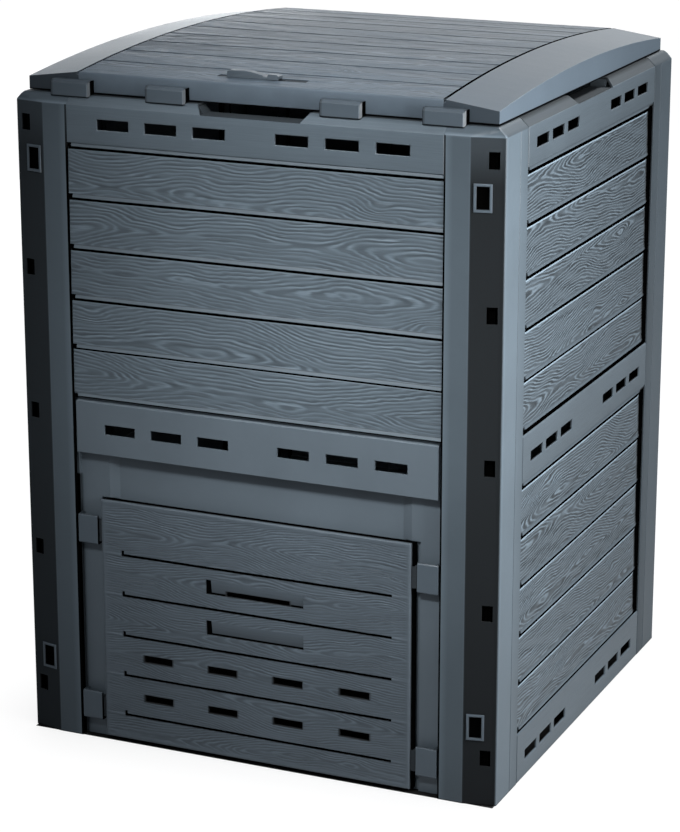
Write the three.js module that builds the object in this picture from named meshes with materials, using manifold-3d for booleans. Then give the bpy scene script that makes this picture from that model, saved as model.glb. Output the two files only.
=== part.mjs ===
// Compost bin with lid: four corner posts carry two tiers of wood-look plastic wall panels.
// An arched lid turns at the back, and a hatch at the foot of the front lifts up for emptying.
// Millimetres, +Z up, the front faces -Y, and the origin is at the middle of the foot.

import * as THREE from "three";
import { mergeVertices } from "three/addons/utils/BufferGeometryUtils.js";
import Module from "manifold-3d";

// Bin as a whole
const binWidth = 720;
const binDepth = 720;
const wallTop = 926;
const rimRise = 12;
const rimRun = 12;
const rimShelfDepth = 34;
const tierJoint = 510;

// Fits and overruns
const clearance = 0.3;
const cutOver = 2;

// Corner post, seen from above: front flange, slanted corner face, side flange
const skin = 3;
const frontFlange = 38;
const cornerFace = 46;
const cornerSetback = 10;
const sideFlange = 80;
const pocketWidth = 11;
const pocketDepth = 28;
const innerFlangeShortfall = 14;
const cornerHoleWidth = 15;
const cornerHoleHeight = 23;
const cornerHoleAlong = 31;
const cornerHoleHeightShares = [0.0735, 0.2974, 0.515, 0.737, 0.9552];
const scoreFromEdge = 28;
const scoreWidth = 2;
const scoreDepth = 1;

// Lock plug, in the slanted corner face
const plugWidth = 25;
const plugHeight = 38;
const plugRim = 3.5;
const plugProud = 2;
const plugWall = 2.5;
const plugAlong = 17;
const plugFromFoot = 114;
const plugFromRim = 91;

// Wall panels
const panelGap = 2;
const bandHeight = 60;
const midBandHeight = 78;
const footBandHeight = 76;
const plankCount = 5;
const grooveHeight = 4;
const grooveDepth = 7;
const plankLean = 2;
const plankChamfer = 1.6;
const lipHeight = 5.5;
const lipSink = 1.8;
const lipStep = 0.9;
const notchWidth = 6;
const notchHeight = 5.5;
const wallRib = 3;
const endWall = 4;

// Vent slots in the bands
const slotLength = 48;
const slotHeight = 14.5;
const slotsInGroup = 3;
const slotPitchFront = 72.5;
const slotPitchSide = 61;
const slotGroupFrontShare = 0.487;
const slotGroupSideShare = 0.567;
const topSlotBelowEdge = 25;
const midSlotBelowJoint = 41;
const footSlotHeight = 31;

// Finger recess in the top edge of each wall
const recessWidth = 146;
const recessDrop = 13;
const recessFlare = 10;

// Hatch frame, in the lower front
const stripDepth = 14;
const stripThickness = 8;
const recessPanelDrop = 5;
const recessInset = 8;
const recessSlope = 14;
const channelWidth = 5;
const openingSideMargin = 34;
const openingSill = 26;
const openingHeadLap = 25;

// Hatch door
const doorInset = 37;
const doorHeadroom = 67;
const doorBottom = 6;
const doorSkin = 5.5;
const doorEdgeWall = 6;
const doorRib = 3;
const doorBevel = 1.5;
const doorRibShare = 0.46;
const boardGrooveDepth = 3;
const boardGrooveHeight = 3;
const boardGrooveMargin = 31;
const boardTickHeight = 8;
const boardTickWidth = 4;
const firstBoardGroove = 43;
const lastBoardGrooveDrop = 79;
const boardGrooves = 5;
const gripWidth = 150;
const gripHeight = 22;
const gripDepth = 3.6;
const gripEndWidth = 8;
const gripRise = 21.5;
const gripOverGrooves = [2, 3];
const fingerSlotLength = 97;
const fingerSlotHeight = 8;
const fingerSlotShift = 5;
const doorVentLength = 45;
const doorVentHeight = 11;
const doorVentPitchShare = 0.2125;
const doorVentRows = 2;
const doorVentColumns = 4;
const doorVentRise = 30;

// Hatch hooks and the keepers that they drop into
const keeperHeight = 43;
const keeperWall = 4;
const keeperPlate = 3;
const keeperBevel = 1.5;
const keeperFromFoot = 28.5;
const keeperBelowDoorTop = 68.5;
const hookHeight = 31;
const hookPlay = 1.2;
const hookThickness = 8;

// Lid: arched panel of boards between two end rails
const lidSideInset = 15;
const lidEdgeInset = 21;
const lidGap = 1.5;
const lidEdgeHeight = 28.5;
const lidRise = 17;
const lidSkin = 3;
const lidRibShare = 0.5;
const lidRibDepth = 6;
const railWidth = 77;
const railDrop = 10.5;
const lidBoards = 10;
const lidGrooveWidth = 3;
const lidGrooveDepth = 2.5;
const lidShoulder = 2;
const seamWidth = 2.5;
const seamDepth = 4;
const boardSteps = 2;

// Lid clips along the front edge
const clipWidth = 60;
const clipProud = 14.5;
const clipRise = 18.5;
const clipDrop = 4;
const clipBevel = 4;
const clipToe = 1.5;
const clipInnerShare = 0.48;
const clipPastSeam = 6;
const snapPlaceShare = 0.57;
const snapWidth = 12;
const snapHeight = 6;
const snapRise = 5;
const snapReach = 2;

// Lid hinges along the back edge, from the finger recess to the rail
// Places and width: shares of that length
const hingePlaceShares = [0.235, 0.795];
const hingeWidthShare = 0.39;
const hingeAxisRise = 7;
const knuckleRadius = 6.5;
const knuckleArm = 11;
const earRadius = 8;
const earWidth = 5;
const earGap = 0.5;
const earInset = 0.5;
const pinRadius = 3;
const pinPlay = 0.4;
const roundSides = 16;

// Lid catch, a small slider on the front board of the lid
// Grip heights: share of the grip's length, then share of its height
const catchLength = 76;
const catchDepth = 16;
const catchHeight = 9;
const catchBevel = 2.5;
const catchLeft = -57;
const catchFromEdge = 28;
const catchTravel = 40;
const catchGripShares = [
  [0, 0.8],
  [0.05, 0.92],
  [0.28, 1],
  [0.45, 0.88],
  [0.7, 0.5],
  [0.72, 0.3],
  [0.78, 0.3],
  [0.8, 0.68],
  [0.96, 0.7],
  [1, 0.5],
];
const catchStem = 10;
const catchFoot = 40;
const catchFootThickness = 3;
const trackSink = 1.5;
const trackEnd = 15;

const wasm = await Module();
wasm.setup();

// Solid of a closed three.js geometry, with its shared corners merged.
function solid(geometry) {
  const bare = geometry.clone();
  bare.deleteAttribute("normal");
  bare.deleteAttribute("uv");
  const merged = mergeVertices(bare);
  return new wasm.Manifold(
    new wasm.Mesh({
      numProp: 3,
      vertProperties: merged.attributes.position.array,
      triVerts: new Uint32Array(merged.index.array),
    }),
  );
}

// Named mesh of a solid.
function piece(name, made, material) {
  const mesh = made.getMesh();
  const stride = mesh.numProp;
  const corners = new Float32Array(mesh.numVert * 3);
  for (let i = 0; i < mesh.numVert; i++) {
    corners.set(mesh.vertProperties.subarray(i * stride, i * stride + 3), i * 3);
  }
  const indexed = new THREE.BufferGeometry();
  indexed.setAttribute("position", new THREE.BufferAttribute(corners, 3));
  indexed.setIndex(new THREE.BufferAttribute(new Uint32Array(mesh.triVerts), 1));
  const flat = indexed.toNonIndexed();
  flat.computeVertexNormals();
  const named = new THREE.Mesh(flat, material);
  named.name = name;
  return named;
}

// Box between two corners, each axis given as [low, high].
function block([x0, x1], [y0, y1], [z0, z1]) {
  const box = new THREE.BoxGeometry(x1 - x0, y1 - y0, z1 - z0);
  box.translate((x0 + x1) / 2, (y0 + y1) / 2, (z0 + z1) / 2);
  return solid(box);
}

// Outline of [u, v] points carried along one axis from one place to another.
function prism(axis, points, from, to) {
  const shape = new THREE.Shape(points.map(([u, v]) => new THREE.Vector2(u, v)));
  const body = new THREE.ExtrudeGeometry(shape, { depth: to - from, bevelEnabled: false });
  body.translate(0, 0, from);
  const x = new THREE.Vector3(1, 0, 0);
  const y = new THREE.Vector3(0, 1, 0);
  const z = new THREE.Vector3(0, 0, 1);
  const turn = new THREE.Matrix4();
  if (axis === "x") turn.makeBasis(y, z, x);
  if (axis === "y") turn.makeBasis(x, z, y.clone().negate());
  if (axis === "y") body.translate(0, 0, -from - to);
  body.applyMatrix4(turn);
  return solid(body);
}

// Round bar along X, centred on one height and depth.
function bar(radius, y, z, from, to) {
  const rod = new THREE.CylinderGeometry(radius, radius, to - from, roundSides);
  rod.rotateZ(Math.PI / 2);
  rod.translate((from + to) / 2, y, z);
  return solid(rod);
}

// Solid between two outlines of as many [y, z] points, set at two places along X.
// Both outlines run from the back of the foot to its front, then up and over.
function loft(first, second, x0, x1) {
  const count = first.length;
  const corners = [];
  for (const [y, z] of first) corners.push(x0, y, z);
  for (const [y, z] of second) corners.push(x1, y, z);
  const faces = [];
  for (let i = 0; i < count; i++) {
    const next = (i + 1) % count;
    faces.push(next, i, count + i);
    faces.push(next, count + i, count + next);
  }
  const flat = first.map(([y, z]) => new THREE.Vector2(y, z));
  for (const [a, b, c] of THREE.ShapeUtils.triangulateShape(flat, [])) {
    faces.push(c, b, a);
    faces.push(count + a, count + b, count + c);
  }
  const body = new THREE.BufferGeometry();
  body.setAttribute("position", new THREE.Float32BufferAttribute(corners, 3));
  body.setIndex(faces);
  return solid(body);
}

const bothSides = (offsets) => [...offsets.map((x) => -x).reverse(), ...offsets];
const union = (solids) => solids.reduce((sum, next) => sum.add(next));
const without = (made, cuts) => cuts.reduce((rest, cut) => rest.subtract(cut), made);

// Materials
const plastic = (color, roughness) =>
  new THREE.MeshStandardMaterial({ color, roughness, metalness: 0 });
const slate = plastic(0x56616b, 0.55);
const slateLight = plastic(0x66727c, 0.5);
const charcoal = plastic(0x2b323a, 0.6);
const graphite = plastic(0x454e57, 0.6);

// Places worked out from the sizes above, shared by several pieces
const halfWidth = binWidth / 2;
const halfDepth = binDepth / 2;
const rimTop = wallTop + rimRise;
const plugHeights = [plugFromFoot, rimTop - plugFromRim];
const pocketBack = skin + pocketWidth;
const postBack = pocketBack + skin;
const flangeEnd = cornerFace + frontFlange;
const sideFlangeEnd = cornerSetback + sideFlange;
const tongueFront = skin + clearance;
const tongueBack = pocketBack - clearance;
const tongueEndFront = halfWidth - (flangeEnd - pocketDepth) - clearance;
const tongueEndSide = halfDepth - (sideFlangeEnd - pocketDepth) - clearance;
const innerEndFront = halfWidth - (flangeEnd - innerFlangeShortfall) - clearance;
const bandBottom = wallTop - bandHeight;
const midBandBottom = tierJoint - midBandHeight;
const flangeEndX = halfWidth - flangeEnd;
const faceEndFront = flangeEndX - panelGap;
const faceEndSide = halfDepth - sideFlangeEnd - panelGap;
const grooveHalf = grooveHeight / 2;
const plateBack = stripDepth + stripThickness;
const doorHalf = flangeEndX - doorInset;
const doorTop = midBandBottom - doorHeadroom;
const boardPitch = (doorTop - lastBoardGrooveDrop - firstBoardGroove) / (boardGrooves - 1);
const recessHalf = doorHalf - recessInset;
const keeperOuter = flangeEndX - clearance;
const keeperInner = doorHalf + channelWidth;
const keeperFeet = [keeperFromFoot, doorTop - keeperBelowDoorTop];
const lidHalfDepth = halfDepth - lidEdgeInset;
const lidPanelHalf = halfWidth - lidSideInset - railWidth;
const lidBottom = rimTop + lidGap;
const lidEdgeTop = lidBottom + lidEdgeHeight;
const clipPlaces = bothSides([lidPanelHalf * clipInnerShare, lidPanelHalf + clipPastSeam]);
const recessEnd = recessWidth / 2 + recessFlare + skin;
const hingeRun = lidPanelHalf - recessEnd;
const hingePlaces = bothSides(hingePlaceShares.map((share) => recessEnd + share * hingeRun));
const hingeHalf = (hingeWidthShare * hingeRun) / 2;
const knuckleHalf = hingeHalf - earWidth - earGap;
const hingeY = halfDepth - earInset - earRadius;
const hingeZ = lidBottom + hingeAxisRise;

// Corner frame of a post: a runs in from the side of the bin, b runs in from its front or back.
// facePoint counts along the slanted face from the flange, and inwards square to it.
const faceLength = Math.hypot(cornerFace, cornerSetback);
function facePoint(along, inward) {
  const cos = cornerFace / faceLength;
  const sin = cornerSetback / faceLength;
  return [cornerFace - along * cos + inward * sin, along * sin + inward * cos];
}

function cornerPlace([signX, signY]) {
  return ([a, b]) => [signX * (halfWidth - a), signY * (halfDepth - b)];
}

const faceRectangle = (along, width, near, far) => [
  facePoint(along - width / 2, near),
  facePoint(along + width / 2, near),
  facePoint(along + width / 2, far),
  facePoint(along - width / 2, far),
];

// Full-height post: outer skin, pockets for the panel tongues, hollow core and a hipped cap.
function cornerPost(corner) {
  const place = cornerPlace(corner);
  const score = sideFlangeEnd - scoreFromEdge;
  const outline = [
    [flangeEnd, 0],
    [cornerFace, 0],
    [0, cornerSetback],
    [0, score - scoreWidth / 2],
    [scoreDepth, score],
    [0, score + scoreWidth / 2],
    [0, sideFlangeEnd],
    [skin, sideFlangeEnd],
    [skin, sideFlangeEnd - pocketDepth],
    [pocketBack, sideFlangeEnd - pocketDepth],
    [pocketBack, sideFlangeEnd - innerFlangeShortfall],
    [postBack, sideFlangeEnd - innerFlangeShortfall],
    [postBack, postBack],
    [flangeEnd - innerFlangeShortfall, postBack],
    [flangeEnd - innerFlangeShortfall, pocketBack],
    [flangeEnd - pocketDepth, pocketBack],
    [flangeEnd - pocketDepth, skin],
    [flangeEnd, skin],
  ];
  const core = [
    [flangeEnd - pocketDepth - skin, skin],
    [cornerFace, skin],
    [skin, cornerSetback + skin],
    [skin, sideFlangeEnd - pocketDepth - skin],
    [pocketBack, sideFlangeEnd - pocketDepth - skin],
    [pocketBack, pocketBack],
    [flangeEnd - pocketDepth - skin, pocketBack],
  ];
  const cap = [
    [flangeEnd, 0],
    [cornerFace, 0],
    [0, cornerSetback],
    [0, sideFlangeEnd],
    [rimShelfDepth, sideFlangeEnd],
    [rimShelfDepth, rimShelfDepth],
    [flangeEnd, rimShelfDepth],
  ];
  const shaft = prism("z", outline.map(place), 0, wallTop);
  const hollow = prism("z", core.map(place), -cutOver, wallTop + cutOver);
  const top = prism("z", cap.map(place), wallTop - skin, rimTop);
  const body = shaft.subtract(hollow).add(top).intersect(hippedEnvelope);
  const holes = cornerHoleHeightShares.map((share) =>
    prism(
      "z",
      faceRectangle(cornerHoleAlong, cornerHoleWidth, -cutOver, skin + cutOver).map(place),
      share * rimTop - cornerHoleHeight / 2,
      share * rimTop + cornerHoleHeight / 2,
    ),
  );
  const sockets = plugHeights.map((height) =>
    prism(
      "z",
      faceRectangle(plugAlong, plugWidth - 2 * plugRim, -cutOver, skin + cutOver).map(place),
      height - plugHeight / 2 + plugRim,
      height + plugHeight / 2 - plugRim,
    ),
  );
  return without(body, [...holes, ...sockets]);
}

// Square plug with a raised rim, pushed into the slanted face.
function lockPlug(corner, height) {
  const place = cornerPlace(corner);
  const shankWidth = plugWidth - 2 * plugRim - 2 * clearance;
  const shankHalf = plugHeight / 2 - plugRim - clearance;
  const rim = prism(
    "z",
    faceRectangle(plugAlong, plugWidth, -plugProud, -clearance).map(place),
    height - plugHeight / 2,
    height + plugHeight / 2,
  );
  const shank = prism(
    "z",
    faceRectangle(plugAlong, shankWidth, -plugProud, skin + cutOver).map(place),
    height - shankHalf,
    height + shankHalf,
  );
  const hollow = prism(
    "z",
    faceRectangle(plugAlong, shankWidth - 2 * plugWall, -2 * plugProud, skin).map(place),
    height - shankHalf + plugWall,
    height + shankHalf - plugWall,
  );
  return rim.add(shank).subtract(hollow);
}

// Bin outline with its hipped top edge, used to trim the post caps.
const hip = (half) => [
  [-half, 0],
  [half, 0],
  [half, wallTop],
  [half - rimRun, rimTop],
  [rimRun - half, rimTop],
  [-half, wallTop],
];
const hippedEnvelope = prism("x", hip(halfDepth), -halfWidth, halfWidth).intersect(
  prism("y", hip(halfWidth), -halfDepth, halfDepth),
);

// Section of a wall panel, [depth in from the outer face, height], read from its foot up.
// Boards stand proud between dark grooves, and the sheet keeps the same skin all over.
// Over each groove the board above ends in a lip that leans out, below a small step.
function plankRun(from, to, start, outer, inner) {
  const pitch = (to - from) / plankCount;
  for (let k = 0; k <= plankCount; k++) {
    const low = from + k * pitch - grooveHalf;
    const edge = low + grooveHeight;
    const face = k < plankCount ? lipSink - lipStep : 0;
    outer.push([grooveDepth, k === 0 ? start.outer : low], [grooveDepth, edge], [0, edge]);
    outer.push([face + lipStep, edge + lipHeight], [face, edge + lipHeight]);
    inner.push([grooveDepth + skin, k === 0 ? start.inner : low - skin]);
    inner.push([grooveDepth + skin, edge + skin], [lipSink + skin, edge + skin]);
    if (k < plankCount) {
      const top = low + pitch;
      outer.push([plankLean, top - plankChamfer], [plankLean + plankChamfer, top]);
      inner.push([plankLean + skin, top - skin]);
    }
  }
}

function upperSection() {
  const outer = [];
  const inner = [];
  const foot = tierJoint + clearance;
  plankRun(tierJoint, bandBottom, { outer: foot, inner: foot }, outer, inner);
  outer.push([0, wallTop], [rimRun, rimTop], [rimShelfDepth, rimTop]);
  inner.push([skin, bandBottom + grooveHalf + lipHeight + skin], [skin, wallTop - skin / 2]);
  inner.push([rimRun + skin / 2, rimTop - skin], [rimShelfDepth, rimTop - skin]);
  return { outer, inner };
}

// Top of the lower tier, which closes the groove under the upper tier.
function tierEdge(outer, inner) {
  const top = tierJoint - grooveHalf;
  outer.push([0, top - plankChamfer], [plankChamfer, top], [grooveDepth, top]);
  outer.push([grooveDepth, tierJoint]);
  inner.push([skin, top - skin], [grooveDepth + skin, top - skin], [grooveDepth + skin, tierJoint]);
}

function lowerSection() {
  const top = footBandHeight - grooveHalf;
  const outer = [[0, 0], [0, top - plankChamfer], [plankChamfer, top]];
  const inner = [[tongueBack, 0], [tongueBack, skin], [skin, skin], [skin, top - skin]];
  const start = { outer: top, inner: top - skin };
  plankRun(footBandHeight, midBandBottom, start, outer, inner);
  tierEdge(outer, inner);
  return { outer, inner };
}

const closed = ({ outer, inner }) => [...outer, ...inner.toReversed()];

// Pair of blocks, one on each side of the middle.
const mirrored = (near, far, depths, heights) => [
  block([near, far], depths, heights),
  block([-far, -near], depths, heights),
];

// Walls that close a panel's section at both ends.
function endWalls({ outer }, faceEnd) {
  const [low, high] = [outer[0][1], outer[outer.length - 1][1]];
  const filled = [...outer, [2 * rimShelfDepth, high], [2 * rimShelfDepth, low]];
  const inside = prism("x", filled, -faceEnd, faceEnd);
  const ends = mirrored(faceEnd - endWall, faceEnd, [-cutOver, tongueBack], [low, high]);
  return ends.map((end) => end.intersect(inside));
}

// Tongues that stand in the pockets of the posts, hooked forward at their ends.
function tongues(near, tongueEnd, from, to) {
  const right = [
    [near, tongueBack],
    [near, tongueBack - skin],
    [tongueEnd - skin, tongueBack - skin],
    [tongueEnd - skin, tongueFront],
    [tongueEnd, tongueFront],
    [tongueEnd, tongueBack],
  ];
  const left = right.map(([x, y]) => [-x, y]);
  return [prism("z", right, from, to), prism("z", left, from, to)];
}

// Small square notch at the left end of each lip.
function lipNotches(from, to, faceEnd) {
  const pitch = (to - from) / plankCount;
  const cuts = [];
  for (let k = 0; k <= plankCount; k++) {
    const edge = from + k * pitch + grooveHalf;
    cuts.push(
      block(
        [-faceEnd - cutOver, notchWidth - faceEnd],
        [-cutOver, skin],
        [edge - clearance, edge + notchHeight],
      ),
    );
  }
  return cuts;
}

function ventPlaces(pitch, offset) {
  const places = [];
  for (const side of [-1, 1]) {
    for (let k = 0; k < slotsInGroup; k++) {
      places.push(side * offset + (k - (slotsInGroup - 1) / 2) * pitch);
    }
  }
  return places;
}

function ventCuts(height, pitch, offset) {
  return ventPlaces(pitch, offset).map((x) =>
    block(
      [x - slotLength / 2, x + slotLength / 2],
      [-cutOver, skin + cutOver],
      [height - slotHeight / 2, height + slotHeight / 2],
    ),
  );
}

// Upright ribs behind the boards, between the first two slots of each group.
function wallRibs(section, pitch, offset, from, to) {
  const beside = offset - pitch / 2;
  const { outer } = section;
  const behind = outer.map(([depth, z]) => [depth + skin / 2, z]);
  const filled = [...behind, [2 * rimShelfDepth, to + skin], [2 * rimShelfDepth, from - skin]];
  const solidWall = prism("x", filled, -halfWidth, halfWidth);
  return [-beside, beside].map((x) =>
    block([x - wallRib / 2, x + wallRib / 2], [0, tongueBack], [from, to]).intersect(solidWall),
  );
}

// Finger recess: a flared notch in the rim over a shelf, so that fingers reach under the lid.
const recessFloor = rimTop - recessDrop;
const recessOutline = (grow, floor, top) => [
  [-recessWidth / 2 - grow, floor],
  [recessWidth / 2 + grow, floor],
  [recessWidth / 2 + recessFlare + grow, top],
  [-recessWidth / 2 - recessFlare - grow, top],
];

const recessCut = () =>
  prism("y", recessOutline(0, recessFloor, rimTop + cutOver), -cutOver, rimShelfDepth + cutOver);

function recessTray() {
  const low = recessFloor - skin;
  const tray = prism("y", recessOutline(skin, low, rimTop), skin / 2, rimShelfDepth);
  const underRim = [
    [0, low],
    [rimShelfDepth, low],
    [rimShelfDepth, rimTop],
    [rimRun, rimTop],
    [0, wallTop],
  ];
  return tray.intersect(prism("x", underRim, -halfWidth, halfWidth));
}

function upperPanel({ faceEnd, tongueEnd, pitch, offset }) {
  const section = upperSection();
  const sheet = prism("x", closed(section), -faceEnd, faceEnd);
  const foot = tierJoint + clearance;
  const hooked = tongues(faceEnd - endWall, tongueEnd, foot, wallTop - skin - clearance);
  const ribs = wallRibs(section, pitch, offset, tierJoint + grooveHeight, bandBottom);
  const body = union([sheet, ...endWalls(section, faceEnd), ...hooked, ...ribs, recessTray()]);
  const vents = ventCuts(wallTop - topSlotBelowEdge, pitch, offset);
  return without(body, [recessCut(), ...vents, ...lipNotches(tierJoint, bandBottom, faceEnd)]);
}

function lowerPanel({ faceEnd, tongueEnd, pitch, offset }) {
  const section = lowerSection();
  const sheet = prism("x", closed(section), -faceEnd, faceEnd);
  const hooked = tongues(faceEnd - endWall, tongueEnd, 0, tierJoint);
  const ribs = wallRibs(section, pitch, offset, footBandHeight, midBandBottom);
  const body = union([sheet, ...endWalls(section, faceEnd), ...hooked, ...ribs]);
  const vents = [
    ...ventCuts(tierJoint - midSlotBelowJoint, pitch, offset),
    ...ventCuts(footSlotHeight, pitch, offset),
  ];
  return without(body, [...vents, ...lipNotches(footBandHeight, midBandBottom, faceEnd)]);
}

// Lower front: middle band over two smooth strips, with a sunk panel behind the raised hatch
// and the opening for taking out compost.
function hatchFrame({ faceEnd, tongueEnd, pitch, offset }) {
  const outer = [[0, midBandBottom]];
  const inner = [[plateBack, midBandBottom], [plateBack, midBandBottom + skin]];
  inner.push([skin, midBandBottom + skin]);
  tierEdge(outer, inner);
  const section = { outer, inner };
  const band = prism("x", closed(section), -faceEnd, faceEnd);
  const heights = [0, midBandBottom + skin];
  const plate = block([-innerEndFront, innerEndFront], [stripDepth, plateBack], heights);
  const webDepths = [tongueBack - skin, stripDepth + skin];
  const webs = mirrored(flangeEndX, innerEndFront, webDepths, [0, tierJoint]);
  const sunk = [
    [-recessHalf, stripDepth - cutOver],
    [recessHalf, stripDepth - cutOver],
    [recessHalf, stripDepth],
    [recessHalf - recessSlope, stripDepth + recessPanelDrop],
    [recessSlope - recessHalf, stripDepth + recessPanelDrop],
    [-recessHalf, stripDepth],
  ];
  const recess = prism("z", sunk, -cutOver, midBandBottom);
  const channels = mirrored(
    recessHalf - recessSlope,
    doorHalf + channelWidth,
    [stripDepth - cutOver, stripDepth + recessPanelDrop],
    [-cutOver, doorTop],
  );
  const openingHalf = doorHalf - openingSideMargin;
  const opening = block(
    [-openingHalf, openingHalf],
    [stripDepth - cutOver, plateBack + cutOver],
    [openingSill, doorTop - openingHeadLap],
  );
  const ends = [
    ...endWalls(section, faceEnd),
    ...tongues(faceEnd - endWall, tongueEnd, midBandBottom, tierJoint),
    ...tongues(flangeEndX, tongueEnd, 0, tierJoint),
  ];
  const body = union([without(plate, [recess, ...channels, opening]), band, ...webs, ...ends]);
  return without(body, ventCuts(tierJoint - midSlotBelowJoint, pitch, offset));
}

// Keeper: a cup open at its top and towards the door, that a door hook drops into.
function keeper(side, foot) {
  const back = stripDepth - clearance;
  const across = (near, far) => (side < 0 ? [-far, -near] : [near, far]);
  const bevelled = [
    [keeperBevel, foot],
    [back, foot],
    [back, foot + keeperHeight],
    [keeperBevel, foot + keeperHeight],
    [0, foot + keeperHeight - keeperBevel],
    [0, foot + keeperBevel],
  ];
  const pocket = block(
    across(keeperInner - cutOver, keeperOuter - keeperWall),
    [keeperPlate, stripDepth + cutOver],
    [foot + keeperWall, foot + keeperHeight + cutOver],
  );
  return prism("x", bevelled, ...across(keeperInner, keeperOuter)).subtract(pocket);
}

// Hatch door: a shell of boards with grips, vent slots and four hooks on its edges.
function hatchDoor() {
  const back = stripDepth - clearance;
  const outline = [
    [doorBevel, doorBottom],
    [back, doorBottom],
    [back, doorTop],
    [doorBevel, doorTop],
    [0, doorTop - doorBevel],
    [0, doorBottom + doorBevel],
  ];
  const sides = [
    [doorBevel - doorHalf, 0],
    [doorHalf - doorBevel, 0],
    [doorHalf, doorBevel],
    [doorHalf, back],
    [-doorHalf, back],
    [-doorHalf, doorBevel],
  ];
  const shell = prism("x", outline, -doorHalf, doorHalf).intersect(
    prism("z", sides, doorBottom, doorTop),
  );
  const inside = block(
    [doorEdgeWall - doorHalf, doorHalf - doorEdgeWall],
    [doorSkin, back + cutOver],
    [doorBottom + doorEdgeWall, doorTop - doorEdgeWall],
  );
  const ribMiddle = doorHalf * doorRibShare;
  const ribs = mirrored(
    ribMiddle - doorRib / 2,
    ribMiddle + doorRib / 2,
    [doorSkin / 2, back],
    [doorBottom + doorEdgeWall / 2, doorTop - doorEdgeWall / 2],
  );
  const hookFront = keeperPlate + (stripDepth - keeperPlate - hookThickness) / 2;
  const hooks = keeperFeet.flatMap((foot) =>
    mirrored(
      doorHalf - doorEdgeWall,
      keeperOuter - keeperWall - hookPlay,
      [hookFront, hookFront + hookThickness],
      [foot + keeperWall + clearance, foot + keeperWall + clearance + hookHeight],
    ),
  );
  const body = union([shell.subtract(inside), ...ribs, ...hooks]);
  return without(body, [...boardCuts(), ...gripCuts(), ...doorVents()]);
}

// Grooves between the door's boards, each turned up at its left end.
const boardGroove = (k) => firstBoardGroove + k * boardPitch;

function boardCuts() {
  const end = doorHalf - boardGrooveMargin;
  const cuts = [];
  for (let k = 0; k < boardGrooves; k++) {
    const low = boardGroove(k) - boardGrooveHeight / 2;
    const depths = [-cutOver, boardGrooveDepth];
    cuts.push(block([-end, end], depths, [low, low + boardGrooveHeight]));
    cuts.push(block([-end, boardTickWidth - end], depths, [low, low + boardTickHeight]));
  }
  return cuts;
}

// Grips: sloping scoops, deepest along their lower edge. The top one has a finger slot.
function gripCuts() {
  const half = gripWidth / 2;
  const feet = gripOverGrooves.map((k) => boardGroove(k) + gripRise);
  const cuts = feet.flatMap((foot) => {
    const scoop = [
      [-cutOver, foot],
      [gripDepth, foot],
      [0, foot + gripHeight],
      [-cutOver, foot + gripHeight],
    ];
    const end = block([-half, gripEndWidth - half], [-cutOver, gripDepth], [foot, foot + gripHeight]);
    return [prism("x", scoop, -half, half), end];
  });
  const slotFoot = Math.max(...feet);
  const reach = fingerSlotLength / 2;
  const slot = block(
    [fingerSlotShift - reach, fingerSlotShift + reach],
    [-cutOver, stripDepth + cutOver],
    [slotFoot, slotFoot + fingerSlotHeight],
  );
  return [...cuts, slot];
}

function doorVents() {
  const pitch = 2 * doorHalf * doorVentPitchShare;
  const cuts = [];
  for (let row = 0; row < doorVentRows; row++) {
    const z = boardGroove(row) + doorVentRise;
    for (let column = 0; column < doorVentColumns; column++) {
      const x = (column - (doorVentColumns - 1) / 2) * pitch;
      cuts.push(
        block(
          [x - doorVentLength / 2, x + doorVentLength / 2],
          [-cutOver, doorSkin + cutOver],
          [z - doorVentHeight / 2, z + doorVentHeight / 2],
        ),
      );
    }
  }
  return cuts;
}

// Lid arch: highest on the middle line, falling to the front and back edges.
const arch = (y, edge) => edge + lidRise * (1 - (y / lidHalfDepth) ** 2);

// Outline of the boarded top, front edge to back edge, with a groove at each joint.
function boardedArch() {
  const board = (2 * lidHalfDepth) / lidBoards;
  const front = -lidHalfDepth;
  const points = [[front, lidEdgeTop - lidShoulder], [front + lidShoulder, lidEdgeTop]];
  for (let k = 0; k < lidBoards; k++) {
    for (let step = 1; step < boardSteps; step++) {
      const y = front + (k + step / boardSteps) * board;
      points.push([y, arch(y, lidEdgeTop)]);
    }
    if (k < lidBoards - 1) {
      const joint = front + (k + 1) * board;
      const near = joint - lidGrooveWidth / 2;
      const far = joint + lidGrooveWidth / 2;
      points.push([near, arch(near, lidEdgeTop)]);
      points.push([joint, arch(joint, lidEdgeTop) - lidGrooveDepth]);
      points.push([far, arch(far, lidEdgeTop)]);
    }
  }
  points.push([-front - lidShoulder, lidEdgeTop], [-front, lidEdgeTop - lidShoulder]);
  return points;
}

// Smooth arch outline between two depths, at one edge height.
function smoothArch(half, edge) {
  const steps = lidBoards * 2;
  const points = [];
  for (let i = 0; i <= steps; i++) {
    const y = half * ((2 * i) / steps - 1);
    points.push([y, arch(y, edge)]);
  }
  return points;
}

// Outline of a lid section: straight sides from a foot height up to the arch.
const archSection = (half, edge, foot) => [[half, foot], [-half, foot], ...smoothArch(half, edge)];

// Lid panel: a boarded shell with two ribs across its underside.
function lidPanel() {
  const end = lidPanelHalf - clearance;
  const half = lidHalfDepth;
  const outline = [[half, lidBottom], [-half, lidBottom], ...boardedArch()];
  const bay = (edge, from, to) =>
    prism("x", archSection(half - lidSkin, edge, lidBottom - cutOver), from, to);
  const under = lidEdgeTop - lidGrooveDepth - lidSkin;
  const rib = lidPanelHalf * lidRibShare;
  const inner = end - lidSkin;
  const bays = [
    bay(under - lidRibDepth, -inner, inner),
    bay(under, -inner, -rib - lidSkin / 2),
    bay(under, lidSkin / 2 - rib, rib - lidSkin / 2),
    bay(under, rib + lidSkin / 2, inner),
  ];
  return without(prism("x", outline, -end, end), [...bays, ...catchCuts(), ...snapCuts()]);
}

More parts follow.
